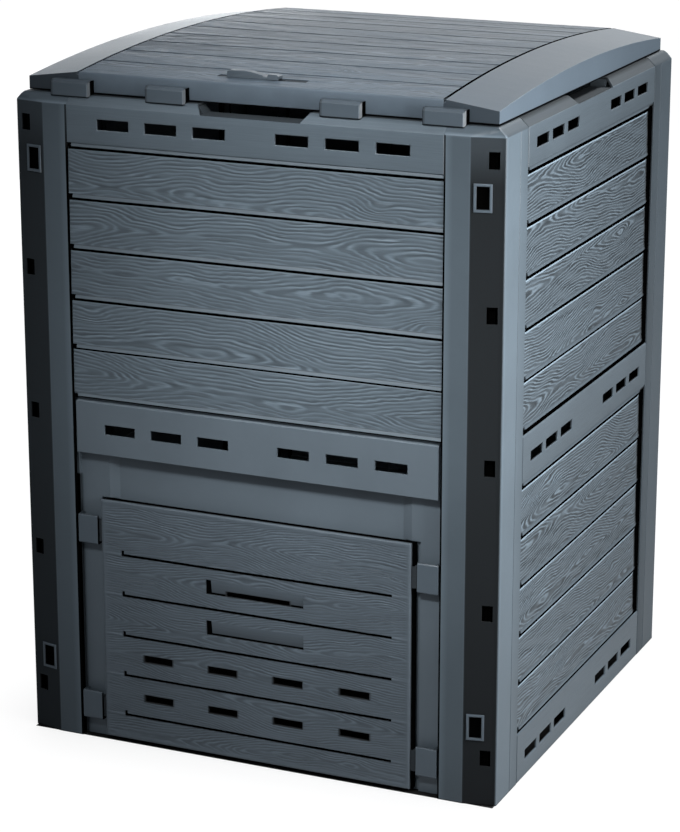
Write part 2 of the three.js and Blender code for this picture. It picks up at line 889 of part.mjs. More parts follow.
// End rail: its top runs out and down from the seam to a vertical side face.
function lidRail(side) {
  const near = lidPanelHalf;
  const far = lidPanelHalf + railWidth;
  const half = lidHalfDepth;
  const shell = loft(
    archSection(half, lidEdgeTop, lidBottom),
    archSection(half, lidEdgeTop - railDrop, lidBottom),
    near,
    far,
  );
  const hollow = loft(
    archSection(half - lidSkin, lidEdgeTop - lidSkin - seamDepth, lidBottom - cutOver),
    archSection(half - lidSkin, lidEdgeTop - railDrop - lidSkin, lidBottom - cutOver),
    near + lidSkin,
    far - lidSkin,
  );
  const rebate = block(
    [near - cutOver, near + seamWidth],
    [-half - cutOver, half + cutOver],
    [lidBottom - cutOver, lidEdgeTop + lidRise + cutOver],
  );
  const seat = archSection(half + 2 * cutOver, lidEdgeTop - seamDepth, lidBottom - 2 * cutOver);
  const under = prism("x", seat, near - 2 * cutOver, near + seamWidth + cutOver);
  const body = without(shell, [hollow, rebate.subtract(under), ...snapCuts()]);
  return side < 0 ? body.mirror([1, 0, 0]) : body;
}

// Snaps that hold a clip or a knuckle: two shanks through the lid's edge, at its front or back.
function edgeSnaps(centre, pieceHalf, end, room) {
  const depths = [
    end * (lidHalfDepth + 2 * clearance),
    end * (lidHalfDepth - lidSkin - snapReach),
  ];
  const span = [Math.min(...depths), Math.max(...depths)];
  const half = snapWidth / 2 + room;
  const foot = lidBottom + snapRise;
  const offset = snapPlaceShare * pieceHalf;
  return [centre - offset, centre + offset].map((place) =>
    block(
      [place - half, place + half],
      span,
      [foot - room, foot + snapHeight + room],
    ),
  );
}

const snapCuts = () => [
  ...clipPlaces.flatMap((centre) => edgeSnaps(centre, clipWidth / 2, -1, clearance)),
  ...hingePlaces.flatMap((centre) => edgeSnaps(centre, knuckleHalf, 1, clearance)),
];

// Clip: a bevelled block on the front edge of the lid, its foot cut back over the sloping rim.
function lidClip(centre) {
  const face = -lidHalfDepth - clipProud;
  const seat = -lidHalfDepth - clearance;
  const foot = lidBottom - clipDrop;
  const top = lidBottom + clipRise;
  const section = [
    [face, foot],
    [face + clipToe, foot],
    [face + clipToe + clipDrop, lidBottom],
    [seat, lidBottom],
    [seat, top],
    [face + clipBevel, top],
    [face, top - clipBevel],
  ];
  const left = centre - clipWidth / 2;
  const right = centre + clipWidth / 2;
  const corner = [
    [right + cutOver, face - cutOver],
    [right + cutOver, face + clipBevel + cutOver],
    [right - clipBevel - cutOver, face - cutOver],
  ];
  const trim = prism("z", corner, foot - cutOver, top + cutOver);
  const body = prism("x", section, left, right).subtract(trim);
  return union([body, ...edgeSnaps(centre, clipWidth / 2, -1, 0)]);
}

// Hinge along the back edge: knuckles on the lid, ears on the back wall and a pin through both.
function hingeKnuckle(centre) {
  const half = knuckleHalf;
  const seat = lidHalfDepth + clearance;
  const arm = [
    [seat, hingeZ - knuckleRadius],
    [hingeY, hingeZ - knuckleRadius],
    [hingeY, hingeZ + knuckleRadius],
    [seat, hingeZ + knuckleArm],
  ];
  const mount = prism("x", arm, centre - half, centre + half);
  const barrel = bar(knuckleRadius, hingeY, hingeZ, centre - half, centre + half);
  const end = half + cutOver;
  const bore = bar(pinRadius + pinPlay, hingeY, hingeZ, centre - end, centre + end);
  return union([barrel, mount, ...edgeSnaps(centre, half, 1, 0)]).subtract(bore);
}

const hingePin = (centre) => bar(pinRadius, hingeY, hingeZ, centre - hingeHalf, centre + hingeHalf);

// Ears rise from the sloping top edge of the back wall, drawn here in that wall's own frame.
function hingeEars() {
  const depth = halfDepth - hingeY;
  const front = depth - earRadius;
  const foot = [
    [front, hingeZ],
    [front, wallTop + (rimRise * front) / rimRun],
    [depth + earRadius, rimTop - skin],
    [depth + earRadius, hingeZ],
  ];
  return hingePlaces.flatMap((centre) =>
    [-1, 1].map((side) => {
      const ends = [centre + side * (hingeHalf - earWidth), centre + side * hingeHalf];
      const [from, to] = [Math.min(...ends), Math.max(...ends)];
      const bore = bar(pinRadius + clearance, depth, hingeZ, from - cutOver, to + cutOver);
      return prism("x", foot, from, to).add(bar(earRadius, depth, hingeZ, from, to)).subtract(bore);
    }),
  );
}

// Catch: a grip over a sunk track in the front board, with a stem and a foot under the board.
const catchFront = catchFromEdge - lidHalfDepth;
const catchBack = catchFront + catchDepth;
const catchMiddle = (catchFront + catchBack) / 2;
const stemLeft = catchLeft + (catchLength - catchStem) / 2;
const stemHalf = catchStem / 4;

function catchCuts() {
  const crown = lidEdgeTop + lidRise;
  const halfTrack = catchDepth / 2 - catchBevel;
  const track = block(
    [catchLeft - trackEnd, catchLeft + catchLength + catchTravel],
    [catchMiddle - halfTrack, catchMiddle + halfTrack],
    [arch(catchMiddle, lidEdgeTop) - trackSink, crown],
  );
  const slot = block(
    [stemLeft - clearance, stemLeft + catchStem + catchTravel + clearance],
    [catchMiddle - stemHalf - clearance, catchMiddle + stemHalf + clearance],
    [lidBottom, crown],
  );
  return [track, slot];
}

function lidCatch() {
  const top = (y) => arch(y, lidEdgeTop);
  const under = (y) => arch(y, lidEdgeTop - lidGrooveDepth - lidSkin) - clearance;
  const right = catchLeft + catchLength;
  const section = [
    [catchFront, top(catchFront) + clearance],
    [catchBack, top(catchBack) + clearance],
    [catchBack - catchBevel, top(catchBack) + catchHeight],
    [catchFront + catchBevel, top(catchFront) + catchHeight],
  ];
  const seat = top(catchMiddle);
  const crest = catchGripShares.map(([along, up]) => [
    catchLeft + along * catchLength,
    seat + up * catchHeight,
  ]);
  const below = [[right, seat - catchHeight], [catchLeft, seat - catchHeight]];
  const grip = prism("x", section, catchLeft, right).intersect(
    prism("y", [...crest, ...below], catchFront, catchBack),
  );
  const sole = [
    [catchFront, under(catchFront) - catchFootThickness],
    [catchBack, under(catchBack) - catchFootThickness],
    [catchBack, under(catchBack)],
    [catchFront, under(catchFront)],
  ];
  const stemMiddle = stemLeft + catchStem / 2;
  const foot = prism("x", sole, stemMiddle - catchFoot / 2, stemMiddle + catchFoot / 2);
  const stem = block(
    [stemLeft, stemLeft + catchStem],
    [catchMiddle - stemHalf, catchMiddle + stemHalf],
    [under(catchMiddle) - catchFootThickness / 2, seat + catchHeight / 2],
  );
  return union([grip, stem, foot]);
}

const bin = new THREE.Group();

// Posts and their lock plugs
const corners = {
  front_left: [-1, -1],
  front_right: [1, -1],
  back_left: [-1, 1],
  back_right: [1, 1],
};
for (const [place, corner] of Object.entries(corners)) {
  bin.add(piece(`post_${place}`, cornerPost(corner), charcoal));
  plugHeights.forEach((height, i) => {
    const level = i === 0 ? "lower" : "upper";
    bin.add(piece(`lock_plug_${place}_${level}`, lockPlug(corner, height), graphite));
  });
}

// Walls: each is drawn facing -Y, then turned to its side of the bin.
const walls = {
  front: { turn: 0, distance: halfDepth },
  right: { turn: Math.PI / 2, distance: halfWidth },
  back: { turn: Math.PI, distance: halfDepth },
  left: { turn: -Math.PI / 2, distance: halfWidth },
};
const wallFrames = {};
for (const [side, { turn, distance }] of Object.entries(walls)) {
  const turned = new THREE.Group();
  turned.rotation.z = turn;
  const frame = new THREE.Group();
  frame.position.y = -distance;
  turned.add(frame);
  bin.add(turned);
  wallFrames[side] = frame;
}
const broad = {
  faceEnd: faceEndFront,
  tongueEnd: tongueEndFront,
  pitch: slotPitchFront,
  offset: slotGroupFrontShare * faceEndFront,
};
const narrow = {
  faceEnd: faceEndSide,
  tongueEnd: tongueEndSide,
  pitch: slotPitchSide,
  offset: slotGroupSideShare * faceEndSide,
};
wallFrames.front.add(
  piece("panel_front_upper", upperPanel(broad), slate),
  piece("hatch_frame", hatchFrame(broad), slate),
);
wallFrames.back.add(
  piece("panel_back_upper", union([upperPanel(broad), ...hingeEars()]), slate),
  piece("panel_back_lower", lowerPanel(broad), slate),
);
for (const side of ["left", "right"]) {
  wallFrames[side].add(piece(`panel_${side}_upper`, upperPanel(narrow), slate));
  wallFrames[side].add(piece(`panel_${side}_lower`, lowerPanel(narrow), slate));
}

// Hatch
wallFrames.front.add(piece("hatch_door", hatchDoor(), slateLight));
keeperFeet.forEach((foot, i) => {
  const level = i === 0 ? "lower" : "upper";
  wallFrames.front.add(piece(`hatch_keeper_left_${level}`, keeper(-1, foot), graphite));
  wallFrames.front.add(piece(`hatch_keeper_right_${level}`, keeper(1, foot), graphite));
});

// Lid, its clips and its hinges
bin.add(piece("lid_panel", lidPanel(), slateLight));
bin.add(piece("lid_rail_left", lidRail(-1), slate));
bin.add(piece("lid_rail_right", lidRail(1), slate));
clipPlaces.forEach((centre, i) => {
  bin.add(piece(`lid_clip_${i + 1}`, lidClip(centre), graphite));
});
hingePlaces.forEach((centre, i) => {
  bin.add(piece(`hinge_knuckle_${i + 1}`, hingeKnuckle(centre), graphite));
  bin.add(piece(`hinge_pin_${i + 1}`, hingePin(centre), graphite));
});
bin.add(piece("lid_catch", lidCatch(), graphite));

export default bin;
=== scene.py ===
"""Compost bin with lid: wood-look boards, posts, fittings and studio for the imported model.

Sizes inside the functions are in millimetres and become metres where a mesh is made.
"""

import math

import bpy
import numpy as np
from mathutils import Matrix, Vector


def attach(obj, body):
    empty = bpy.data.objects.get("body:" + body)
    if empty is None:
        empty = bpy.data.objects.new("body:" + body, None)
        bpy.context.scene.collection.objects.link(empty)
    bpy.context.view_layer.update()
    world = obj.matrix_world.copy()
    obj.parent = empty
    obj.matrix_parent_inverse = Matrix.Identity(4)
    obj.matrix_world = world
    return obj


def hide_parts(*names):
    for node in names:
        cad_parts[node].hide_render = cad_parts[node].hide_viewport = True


bl_info = {
    "name": "Compost bin with lid",
    "version": (1, 0, 0),
    "blender": (4, 5, 0),
    "location": "View3D > Sidebar > Bin",
    "description": "Dresses a garden compost bin with moulded wood-look plastic",
    "category": "Object",
}

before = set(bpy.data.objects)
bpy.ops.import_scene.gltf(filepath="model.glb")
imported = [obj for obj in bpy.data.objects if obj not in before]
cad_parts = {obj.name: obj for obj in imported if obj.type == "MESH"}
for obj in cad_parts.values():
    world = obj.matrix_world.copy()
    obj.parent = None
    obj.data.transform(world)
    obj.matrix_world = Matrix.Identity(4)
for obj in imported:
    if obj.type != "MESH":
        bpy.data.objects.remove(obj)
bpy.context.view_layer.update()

# Sizes shared with the solids, in millimetres. SHELF is how far the rim reaches in, TIER the
# height where the upper walls start, and TONGUE_BACK how deep the tongues of the walls lie
HALF = 360.0
SKIN = 3.0
WALL_TOP = 926.0
RIM_TOP = 938.0
SHELF = 34.0
TIER = 510.0
BAND_BOTTOM = 866.0
MID_BAND_BOTTOM = 432.0
FOOT_BAND_TOP = 76.0
BOARDS = 5
LID_BOARDS = 10
GROOVE = 4.8
GROOVE_DEPTH = 7.0
TONGUE_BACK = 13.7
CLEAR = 0.3
SLOT_HALF = (24.0, 7.25)
SLOT_LEVELS = {"upper": (WALL_TOP - 25,), "lower": (31.0, TIER - 41)}
BOARD_SPANS = {"upper": (TIER, BAND_BOTTOM), "lower": (FOOT_BAND_TOP, MID_BAND_BOTTOM)}
RECESS_HALF = 73.0
RECESS_FOOT = 925.0
PLUG_LEVELS = {"lower": 114.0, "upper": 847.0}

# Lip over a groove: the depth of its upper end, and its height
LIP_DEPTH = 1.8
LIP_HEIGHT = 5.6

# Slanted face of a post: its reach in from the side and from the front or back, and its angle
SLANT = (46.0, 10.0)
SLANT_COS, SLANT_SIN = (reach / math.hypot(*SLANT) for reach in SLANT)

# The two kinds of wall: half length of the face, rise of the boards' top edges into the
# grooves, reach of the tongues, pitch and offset of the slots, painted highlight on the boards'
# top edges, sink of the boards at the back post, which also turns on their painted shadow there,
# painted shade of the rim's slope and of its top under the lid, depth of the grain and width of
# its rings. The narrow walls get a stronger painted highlight and deeper painted shade.
BROAD = {"end": 277.0, "lift": 2.0, "tongue": 303.7, "pitch": 72.5, "offset": 133.4,
         "ledge_highlight": 1.2, "sink": 0.0, "slope": 1.1, "shadow": 0.9, "depth": 0.9, "ring": 1.0}
NARROW = {"end": 268.0, "lift": 0.0, "tongue": 297.7, "pitch": 61.0, "offset": 152.0,
          "ledge_highlight": 3.4, "sink": 2.2, "slope": 0.45, "shadow": 0.2, "depth": 1.8, "ring": 0.82}

# The walls by the node that each one replaces: side, kind, tier and seed of the grain
WALLS = {
    "panel_front_upper": ("front", BROAD, "upper", 3),
    "panel_back_upper": ("back", BROAD, "upper", 11),
    "panel_back_lower": ("back", BROAD, "lower", 17),
    "panel_left_upper": ("left", NARROW, "upper", 23),
    "panel_left_lower": ("left", NARROW, "lower", 29),
    "panel_right_upper": ("right", NARROW, "upper", 5),
    "panel_right_lower": ("right", NARROW, "lower", 7),
}

# What each vertex carries for the shader: painted light and shade, place in the grain's rings,
# depth of the grain
MARKS = ("painted_light", "ring", "vein")

# Camera of the photograph: turn and tilt in degrees, place in metres, lens over picture height
CAMERA_TURN, CAMERA_TILT = 23.904, 16.472
CAMERA_PLACE = (1.56722, -3.59995, 1.58032)
CAMERA_LENS = 2750.512 / 832


def feed(tree, socket, value):
    """Gives a socket of a node tree its value: a link from a wire, or else the value itself."""
    if isinstance(value, Wire):
        tree.links.new(value.socket, socket)
    else:
        socket.default_value = value


class Wire:
    """A shader socket that takes part in Python sums; each sum adds a Math node."""

    def __init__(self, tree, socket):
        self.tree = tree
        self.socket = socket

    def math(self, operation, other=0.0, swapped=False):
        """Wire of a Math node over this wire and another or a number, or over them swapped."""
        node = self.tree.nodes.new("ShaderNodeMath")
        node.operation = operation
        for socket, value in zip(node.inputs, (other, self) if swapped else (self, other)):
            feed(self.tree, socket, value)
        return Wire(self.tree, node.outputs[0])

    def __add__(self, other):
        return self.math("ADD", other)

    def __radd__(self, other):
        return self.math("ADD", other, swapped=True)

    def __sub__(self, other):
        return self.math("SUBTRACT", other)

    def __rsub__(self, other):
        return self.math("SUBTRACT", other, swapped=True)

    def __mul__(self, other):
        return self.math("MULTIPLY", other)


class Shader:
    """Node tree of a material or a world, with methods for the nodes that aren't sums."""

    def __init__(self, holder):
        holder.use_nodes = True
        self.tree = holder.node_tree
        self.tree.nodes.clear()

    def node(self, kind, settings=None, **values):
        """Adds a node, sets its properties, then its sockets by name or by number (i0, i1)."""
        made = self.tree.nodes.new(kind)
        for key, value in (settings or {}).items():
            setattr(made, key, value)
        for key, value in values.items():
            if key[0] == "i" and key[1:].isdigit():
                socket = made.inputs[int(key[1:])]
            else:
                socket = made.inputs[key.replace("_", " ")]
            feed(self.tree, socket, value)
        return made

    def wire(self, made, output=0):
        """Wire from an output of a node, by name or number."""
        return Wire(self.tree, made.outputs[output])

    def noise(self, place, scale, detail, roughness):
        """Wire of cloudy noise from 0 to 1 by place."""
        sockets = {"Vector": place, "Scale": scale, "Detail": detail, "Roughness": roughness}
        return self.wire(self.node("ShaderNodeTexNoise", **sockets))

    def mix(self, share, first, second):
        """Wire of the second shader where the share is 1, and of the first where it is 0."""
        return self.wire(self.node("ShaderNodeMixShader", i0=share, i1=first, i2=second))

    def axes(self, place):
        """Wires of the three axes of a place."""
        spot = self.node("ShaderNodeSeparateXYZ", Vector=place)
        return [self.wire(spot, axis) for axis in range(3)]


def linear(colour):
    """Linear values of an sRGB colour given as three numbers from 0 to 1."""
    return tuple(c / 12.92 if c <= 0.04045 else ((c + 0.055) / 1.055) ** 2.4 for c in colour)


def past(value, start, width):
    """Wire that goes from 0 to 1 while a value passes from start to start + width."""
    share = (value - start) * (1.0 / width)
    return share.math("MAXIMUM", 0.0).math("MINIMUM", 1.0)


def size_of(value):
    """Wire of a value without its sign."""
    return value.math("ABSOLUTE")


def clip_painted_shade(x, _, z):
    """Painted shade of the lid's clips: painted shadow at both ends of each and along its foot.

    The distance from the nearest clip's middle is ||| x | - 201.32 mm | - 72.68 mm |.
    """
    off = size_of(size_of(size_of(x) - 0.20132) - 0.07268)
    end = past(off, 0.0290, 0.0006)
    foot = 1.0 - past(z, 0.9363, 0.0010)
    # The chamfer before each end is dimmed by 0.4 of painted shade
    return (1.0 - end.math("MAXIMUM", foot)) * (1.0 - past(off, 0.0264, 0.0006) * 0.4)


def keeper_painted_shade(x, _, z):
    """Painted shade of the hatch keepers: a painted shadow at the end beside the door, and painted
    shade on the top face.
    """
    end = 1.0 - past(size_of(x), 0.2446, 0.0006)
    top = 1.0 - past(size_of(size_of(z - 0.2055) - 0.134), 0.0005, 0.0005)
    return 0.95 - (end * 0.95).math("MAXIMUM", top * 0.5)


def frame_painted_shadow(x, _, z):
    """Painted shadow on the hatch frame: black along its left edge beside the post, below 395 mm.
    """
    seam = 1.0 - past(x, -0.2775, 0.005)
    return 1.0 - seam * (1.0 - past(z, 0.395, 0.002))


def rail_painted_light(x, y, z):
    """Painted light on the lid's rails: a painted highlight on the outer side, painted shade on the
    near end, and a painted shadow line along the foot.
    """
    side = past(size_of(x), 0.3443, 0.0005)
    end = 1.0 - past(y, -0.3386, 0.0005)
    foot = 1.0 - past(z, 0.9408, 0.0008)
    return (0.84 + side * 0.4 - end * 0.4) * (1.0 - foot)


def moulded_plastic(name, colour, stretch, fibre, rough=0.5, toned=True, index=1.5,
                    shaded=None):
    """Plastic with fibre marks along a board, cloudy tint and uneven gloss.

    Where toned, the piece's own attributes take part. Its painted light multiplies the colour:
    painted shade in grooves, painted highlights on lips, and a painted black shadow with no gloss
    where it is 0. Its ring and vein draw the grain: a ridge stands vein (0.5 + 0.5 cos(2 pi ring))
    ^ 2.2 high. A piece without such marks can have its painted light and shade from shaded, a
    function of the wires x, y and z.
    """
    material = bpy.data.materials.new(name)
    shader = Shader(material)
    place = shader.wire(shader.node("ShaderNodeTexCoord"), "Object")
    along = shader.wire(shader.node("ShaderNodeMapping", Vector=place, Scale=stretch))
    fibres = shader.noise(along, 1.0, 4.0, 0.65)
    waver = shader.noise(along, 0.16, 2.0, 0.5)
    cloud = shader.noise(place, 9.0, 3.0, 0.55)
    pores = shader.noise(place, 900.0, 2.0, 0.5)
    shade = (0.86 + cloud * 0.28) * (1.0 - fibre * 0.5 + fibres * fibre)
    height = fibres * 0.7 + pores * 0.3
    if shaded:
        painted_light = shaded(*shader.axes(place))
        shade = shade * painted_light
    if toned:
        painted_light, ring, vein = (
            shader.wire(shader.node("ShaderNodeAttribute", {"attribute_name": mark}), "Fac")
            for mark in MARKS
        )
        turn = (ring + waver * 0.9 + fibres * 0.25) * (2 * math.pi)
        wave = turn.math("COSINE") * 0.5 + 0.5
        ridge = wave.math("POWER", 2.2) * vein * (0.6 + fibres * 0.8)
        shade = shade * painted_light * (1.03 - vein * 0.4 + ridge * 0.95)
        height = height + ridge * 1.8
    grey = shader.wire(shader.node("ShaderNodeCombineColor", Red=shade, Green=shade, Blue=shade))
    tinted = shader.node("ShaderNodeMix", {"data_type": "RGBA", "blend_type": "MULTIPLY"},
                         i0=1.0, i6=(*linear(colour), 1.0), i7=grey)
    if toned:
        rough = (0.8 - painted_light).math("MAXIMUM", 0.0) * 0.8 + rough
    gloss = rough - 0.09 + cloud * 0.1 + pores * 0.08
    bump = shader.node("ShaderNodeBump", Strength=0.35, Distance=0.0006, Height=height)
    body = shader.node("ShaderNodeBsdfPrincipled", Base_Color=shader.wire(tinted, 2),
                       Roughness=gloss, Normal=shader.wire(bump), IOR=index)
    surface = shader.wire(body)
    if toned or shaded:
        # Painted shadow: where the painted light falls near 0 the surface turns black without gloss
        painted_shadow_share = (1.0 - painted_light * 25.0).math("MAXIMUM", 0.0)
        black = shader.node("ShaderNodeBsdfDiffuse", Color=(0.001, 0.001, 0.001, 1))
        surface = shader.mix(painted_shadow_share, surface, shader.wire(black))
    shader.node("ShaderNodeOutputMaterial", Surface=surface)
    return material


def lines(stops, step):
    """Places from the first stop to the last, through every stop, about a step apart."""
    runs = [
        np.linspace(a, b, max(1, round((b - a) / step)), endpoint=False)
        for a, b in zip(stops[:-1], stops[1:])
    ]
    return np.concatenate([*runs, [stops[-1]]])


def wide(values, count):
    """Grid of a column of values that stay the same over a count of columns."""
    return np.repeat(np.asarray(values)[:, None], count, axis=1)


def sheet(places, first, second):
    """Grid of points: a section, given by its first and second values, carried along places."""
    count = len(places)
    along = np.broadcast_to(places, (len(first), count))
    return np.stack([along, wide(first, count), wide(second, count)], axis=-1)


def between(values):
    """Middles between neighbouring values."""
    return (values[:-1] + values[1:]) / 2


def within(values, spans, room=0.0):
    """True for the values that lie in one of the spans, with room added at both their ends."""
    inside = np.zeros(len(values), bool)
    for low, high in spans:
        inside |= (values > low - room) & (values < high + room)
    return inside


def mirrored(sign, low, high):
    """Span from low to high on the side that the sign gives."""
    return sorted((sign * low, sign * high))


def grid_quads(point, keep):
    """Quads of the kept cells of a grid of vertex numbers."""
    quads = np.stack([point[:-1, :-1], point[:-1, 1:], point[1:, 1:], point[1:, :-1]], axis=-1)
    return quads[keep]


def plate(outer, inner, twins, keep):
    """Closed plate between two grids of points with the same columns.

    twins pairs the rows that both grids have. Cells that keep leaves out are holes, and each
    hole and each open edge gets a wall from one grid to the other, row to twin row.
    """
    rows, columns = outer.shape[:2]
    twin = dict(twins)
    back_keep = np.ones((len(inner) - 1, columns - 1), bool)
    for row, back_row in twins:
        if twin.get(row + 1) == back_row + 1:
            back_keep[back_row] = keep[row]
    point = np.arange(rows * columns).reshape(rows, columns)
    back_point = point.size + np.arange(len(inner) * columns).reshape(-1, columns)
    faces = [grid_quads(point, keep), grid_quads(back_point, back_keep)[:, ::-1]]

    def add_walls(before, after, *corners):
        for mask, way in ((after & ~before, 1), (before & ~after, -1)):
            wall = np.stack([corner[mask] for corner in corners], axis=-1)
            faces.append(wall[:, ::way])

    padded = np.zeros((rows + 1, columns - 1), bool)
    padded[1:-1] = keep
    for row, back_row in twins:
        here, behind = point[row], back_point[back_row]
        add_walls(padded[row], padded[row + 1], here[1:], here[:-1], behind[:-1], behind[1:])
        if row + 1 in twin:
            over, over_behind = point[row + 1, 1:-1], back_point[twin[row + 1], 1:-1]
            add_walls(keep[row, :-1], keep[row, 1:], here[1:-1], over, over_behind, behind[1:-1])
    left_end = np.concatenate([point[:, 0], back_point[::-1, 0]])
    right_end = np.concatenate([point[::-1, -1], back_point[:, -1]])
    points = np.concatenate([outer.reshape(-1, 3), inner.reshape(-1, 3)])
    return points, [*faces, left_end[None], right_end[None]]


def plate_marks(inner, twins, keep, *outer_marks):
    """Marks of a plate's vertices: as given on its outer grid, plain but for painted shade on its
    inner one.

    The inner grid is painted in shade at 0.62, and black as painted shadow round its outline and
    where the wall of a hole meets it.
    """
    holed = np.zeros((keep.shape[0] + 1, keep.shape[1] + 1), bool)
    for row, column in ((0, 0), (0, 1), (1, 0), (1, 1)):
        holed[row : row + keep.shape[0], column : column + keep.shape[1]] |= ~keep
    shade = np.full(inner.shape[:2], 0.62)
    for row, back_row in twins:
        shade[back_row, holed[row]] = 0.0
    shade[[0, -1]] = 0.0
    shade[:, [0, -1]] = 0.0
    plain = [shade.ravel()] + [np.zeros(shade.size)] * (len(outer_marks) - 1)
    return np.array([
        np.concatenate([mark.ravel(), behind]) for mark, behind in zip(outer_marks, plain)
    ])


def prism(outline, axis, start, end):
    """Closed prism of an outline carried along one axis.

    The points of the outline are (y, z), (z, x) or (x, y) for the axes x, y and z. They run
    anticlockwise as seen from the far end.
    """
    count = len(outline)
    points = np.zeros((2, count, 3))
    points[:, :, [(axis + 1) % 3, (axis + 2) % 3]] = outline
    points[:, :, axis] = [[start], [end]]
    here = np.arange(count)
    following = np.roll(here, -1)
    sides = np.stack([here, following, following + count, here + count], axis=-1)
    return points.reshape(-1, 3), [sides, here[::-1][None], (here + count)[None]]


def box(x, y, z):
    """Closed box between two corners, each axis given as (low, high)."""
    outline = [(x[0], y[0]), (x[1], y[0]), (x[1], y[1]), (x[0], y[1])]
    return prism(outline, 2, z[0], z[1])


def turned(points, side):
    """Points of a wall drawn as (x along it, depth in from its face, z), set on its side."""
    x, depth, z = points[..., 0], points[..., 1], points[..., 2]
    away = HALF - depth
    placed = {
        "front": (x, -away, z),
        "right": (away, x, z),
        "back": (-x, away, z),
        "left": (-away, -x, z),
    }[side]
    return np.stack(placed, axis=-1)


def join(parts):
    """Points, corners, face counts by size and marks of several closed parts as one."""
    points, faces, marks = [], [], []
    count = 0
    for (part_points, part_faces), given in parts:
        points.append(part_points)
        faces.extend(face + count for face in part_faces)
        mark = np.zeros((len(MARKS), len(part_points)))
        if np.ndim(given) == 2:
            mark[:] = given
        else:
            mark[0] = given
        marks.append(mark)
        count += len(part_points)
    points, marks = np.concatenate(points), np.concatenate(marks, axis=1)
    used, corners = np.unique(np.concatenate([face.ravel() for face in faces]), return_inverse=True)
    return points[used], corners, [face.shape for face in faces], marks[:, used]


def make_piece(name, parts, material, body, replaces, side=None):
    """Mesh object of closed parts in millimetres, riding on a body in place of CAD nodes."""
    points, loops, shapes, marks = join(parts)
    if side:
        points = turned(points, side)
    mesh = bpy.data.meshes.new(name)
    totals = np.concatenate([np.full(count, corners) for count, corners in shapes])
    starts = np.concatenate([[0], np.cumsum(totals)[:-1]])
    mesh.vertices.add(len(points))
    mesh.vertices.foreach_set("co", (points * 0.001).ravel())
    mesh.loops.add(len(loops))
    mesh.loops.foreach_set("vertex_index", loops.astype(np.int32))
    mesh.polygons.add(len(totals))
    mesh.polygons.foreach_set("loop_start", starts.astype(np.int32))
    mesh.polygons.foreach_set("loop_total", totals.astype(np.int32))
    mesh.update(calc_edges=True)
    if mesh.validate():
        raise RuntimeError(name + " has faces that don't hold together")
    mesh.shade_smooth()
    mesh.set_sharp_from_angle(angle=math.radians(32))
    for mark, values in zip(MARKS, marks):
        layer = mesh.attributes.new(mark, "FLOAT", "POINT")
        layer.data.foreach_set("value", values.astype(np.float32))
    mesh.materials.append(material)
    piece = bpy.data.objects.new(name, mesh)
    bpy.context.scene.collection.objects.link(piece)
    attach(piece, body)
    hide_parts(*replaces)
    return piece


def ripple(x, z, rng, waves, along, across):
    """Smooth noise: a sum of sine waves of chosen lengths along and across the boards."""
    total = np.zeros_like(x)
    for _ in range(waves):
        kx = 2 * math.pi / rng.uniform(*along) * rng.choice([-1, 1])
        kz = 2 * math.pi / rng.uniform(*across)
        total += np.sin(kx * x + kz * z + rng.uniform(0, 2 * math.pi))
    return total / math.sqrt(waves)


def grain(x, z, height, seed, ring):
    """Grain of one board: place in the rings, depth of the lines, and relief from 0 to 1.

    The way to the heart line of the log is sqrt(core ^ 2 + (z - its height) ^ 2). A drift along
    the board opens its rings into nested arches, and knots push them aside. The relief is
    1 - vein (1 - (0.5 + 0.5 cos(2 pi way / ring)) ^ 1.9).
    """
    rng = np.random.default_rng(seed)
    phases = rng.uniform(0, 2 * math.pi, 6)
    middle = (
        height * rng.uniform(0.05, 0.95)
        + 7 * np.sin(x / rng.uniform(110, 190) + phases[0])
        + 2 * np.sin(x / rng.uniform(26, 40) + phases[1])
    )
    core = 3.5 + 3 * np.sin(x / rng.uniform(60, 110) + phases[2])
    away = np.sqrt(core**2 + (z - middle) ** 2)
    away += 13 * np.sin(x / rng.uniform(85, 130) + phases[3])
    away += 4.5 * np.sin(x / rng.uniform(35, 55) + phases[4])
    away += 1.1 * ripple(x, z, rng, 5, (60, 140), (40, 120))
    away += 0.32 * ripple(x, z, rng, 6, (20, 45), (9, 25))
    for _ in range(rng.integers(0, 3)):
        knot_x = rng.uniform(x.min(), x.max())
        knot_z = rng.uniform(0.2, 0.8) * height
        spread = np.exp(-(((x - knot_x) / 24) ** 2) - ((z - knot_z) / 11) ** 2)
        away += rng.choice([-1, 1]) * rng.uniform(5, 9) * spread
    turn = away / ring
    vein = np.clip(0.72 + 0.3 * ripple(x, z, rng, 5, (60, 200), (12, 40)), 0.25, 1)
    relief = 1 - vein * (1 - (0.5 + 0.5 * np.cos(2 * math.pi * turn)) ** 1.9)
    return turn, vein, relief


def board_grain(x, boards, seed, ring):
    """Ring, vein and relief over a grid of x, for boards as (rows, height on it, its height)."""
    marks = np.zeros_like(x), np.zeros_like(x), np.ones_like(x)
    for k, (rows, climbed, height) in enumerate(boards):
        for mark, values in zip(marks, grain(x[rows], climbed, height, seed * 100 + k, ring)):
            mark[rows] = values
    return marks


def slot_spans(wall):
    """Left and right end of each vent slot of a wall, in order."""
    half = SLOT_HALF[0]
    middles = [s * wall["offset"] + k * wall["pitch"] for s in (-1, 1) for k in (-1, 0, 1)]
    return [(m - half, m + half) for m in middles]


def groove_rows(foot, low, step):
    """Rows over one groove, as depth, height and painted light: groove, lip and the step over the
    lip. The groove is painted black as its shade, the lip has a painted highlight and the step
    over it a painted shade line.
    """
    edge = low + GROOVE
    return [
        (GROOVE_DEPTH, foot, 0.0),
        (GROOVE_DEPTH, edge, 0.0),
        (1.0, edge, 0.0),
        (0.4, edge + 0.2, 0.5),
        (0.0, edge + 0.7, 1.05),
        (1.35, edge + 4.6, 0.88),
        (LIP_DEPTH, edge + 5.1, 0.4),
        (LIP_DEPTH, edge + 5.5, 0.4),
        (step, edge + LIP_HEIGHT, 0.9),
    ]


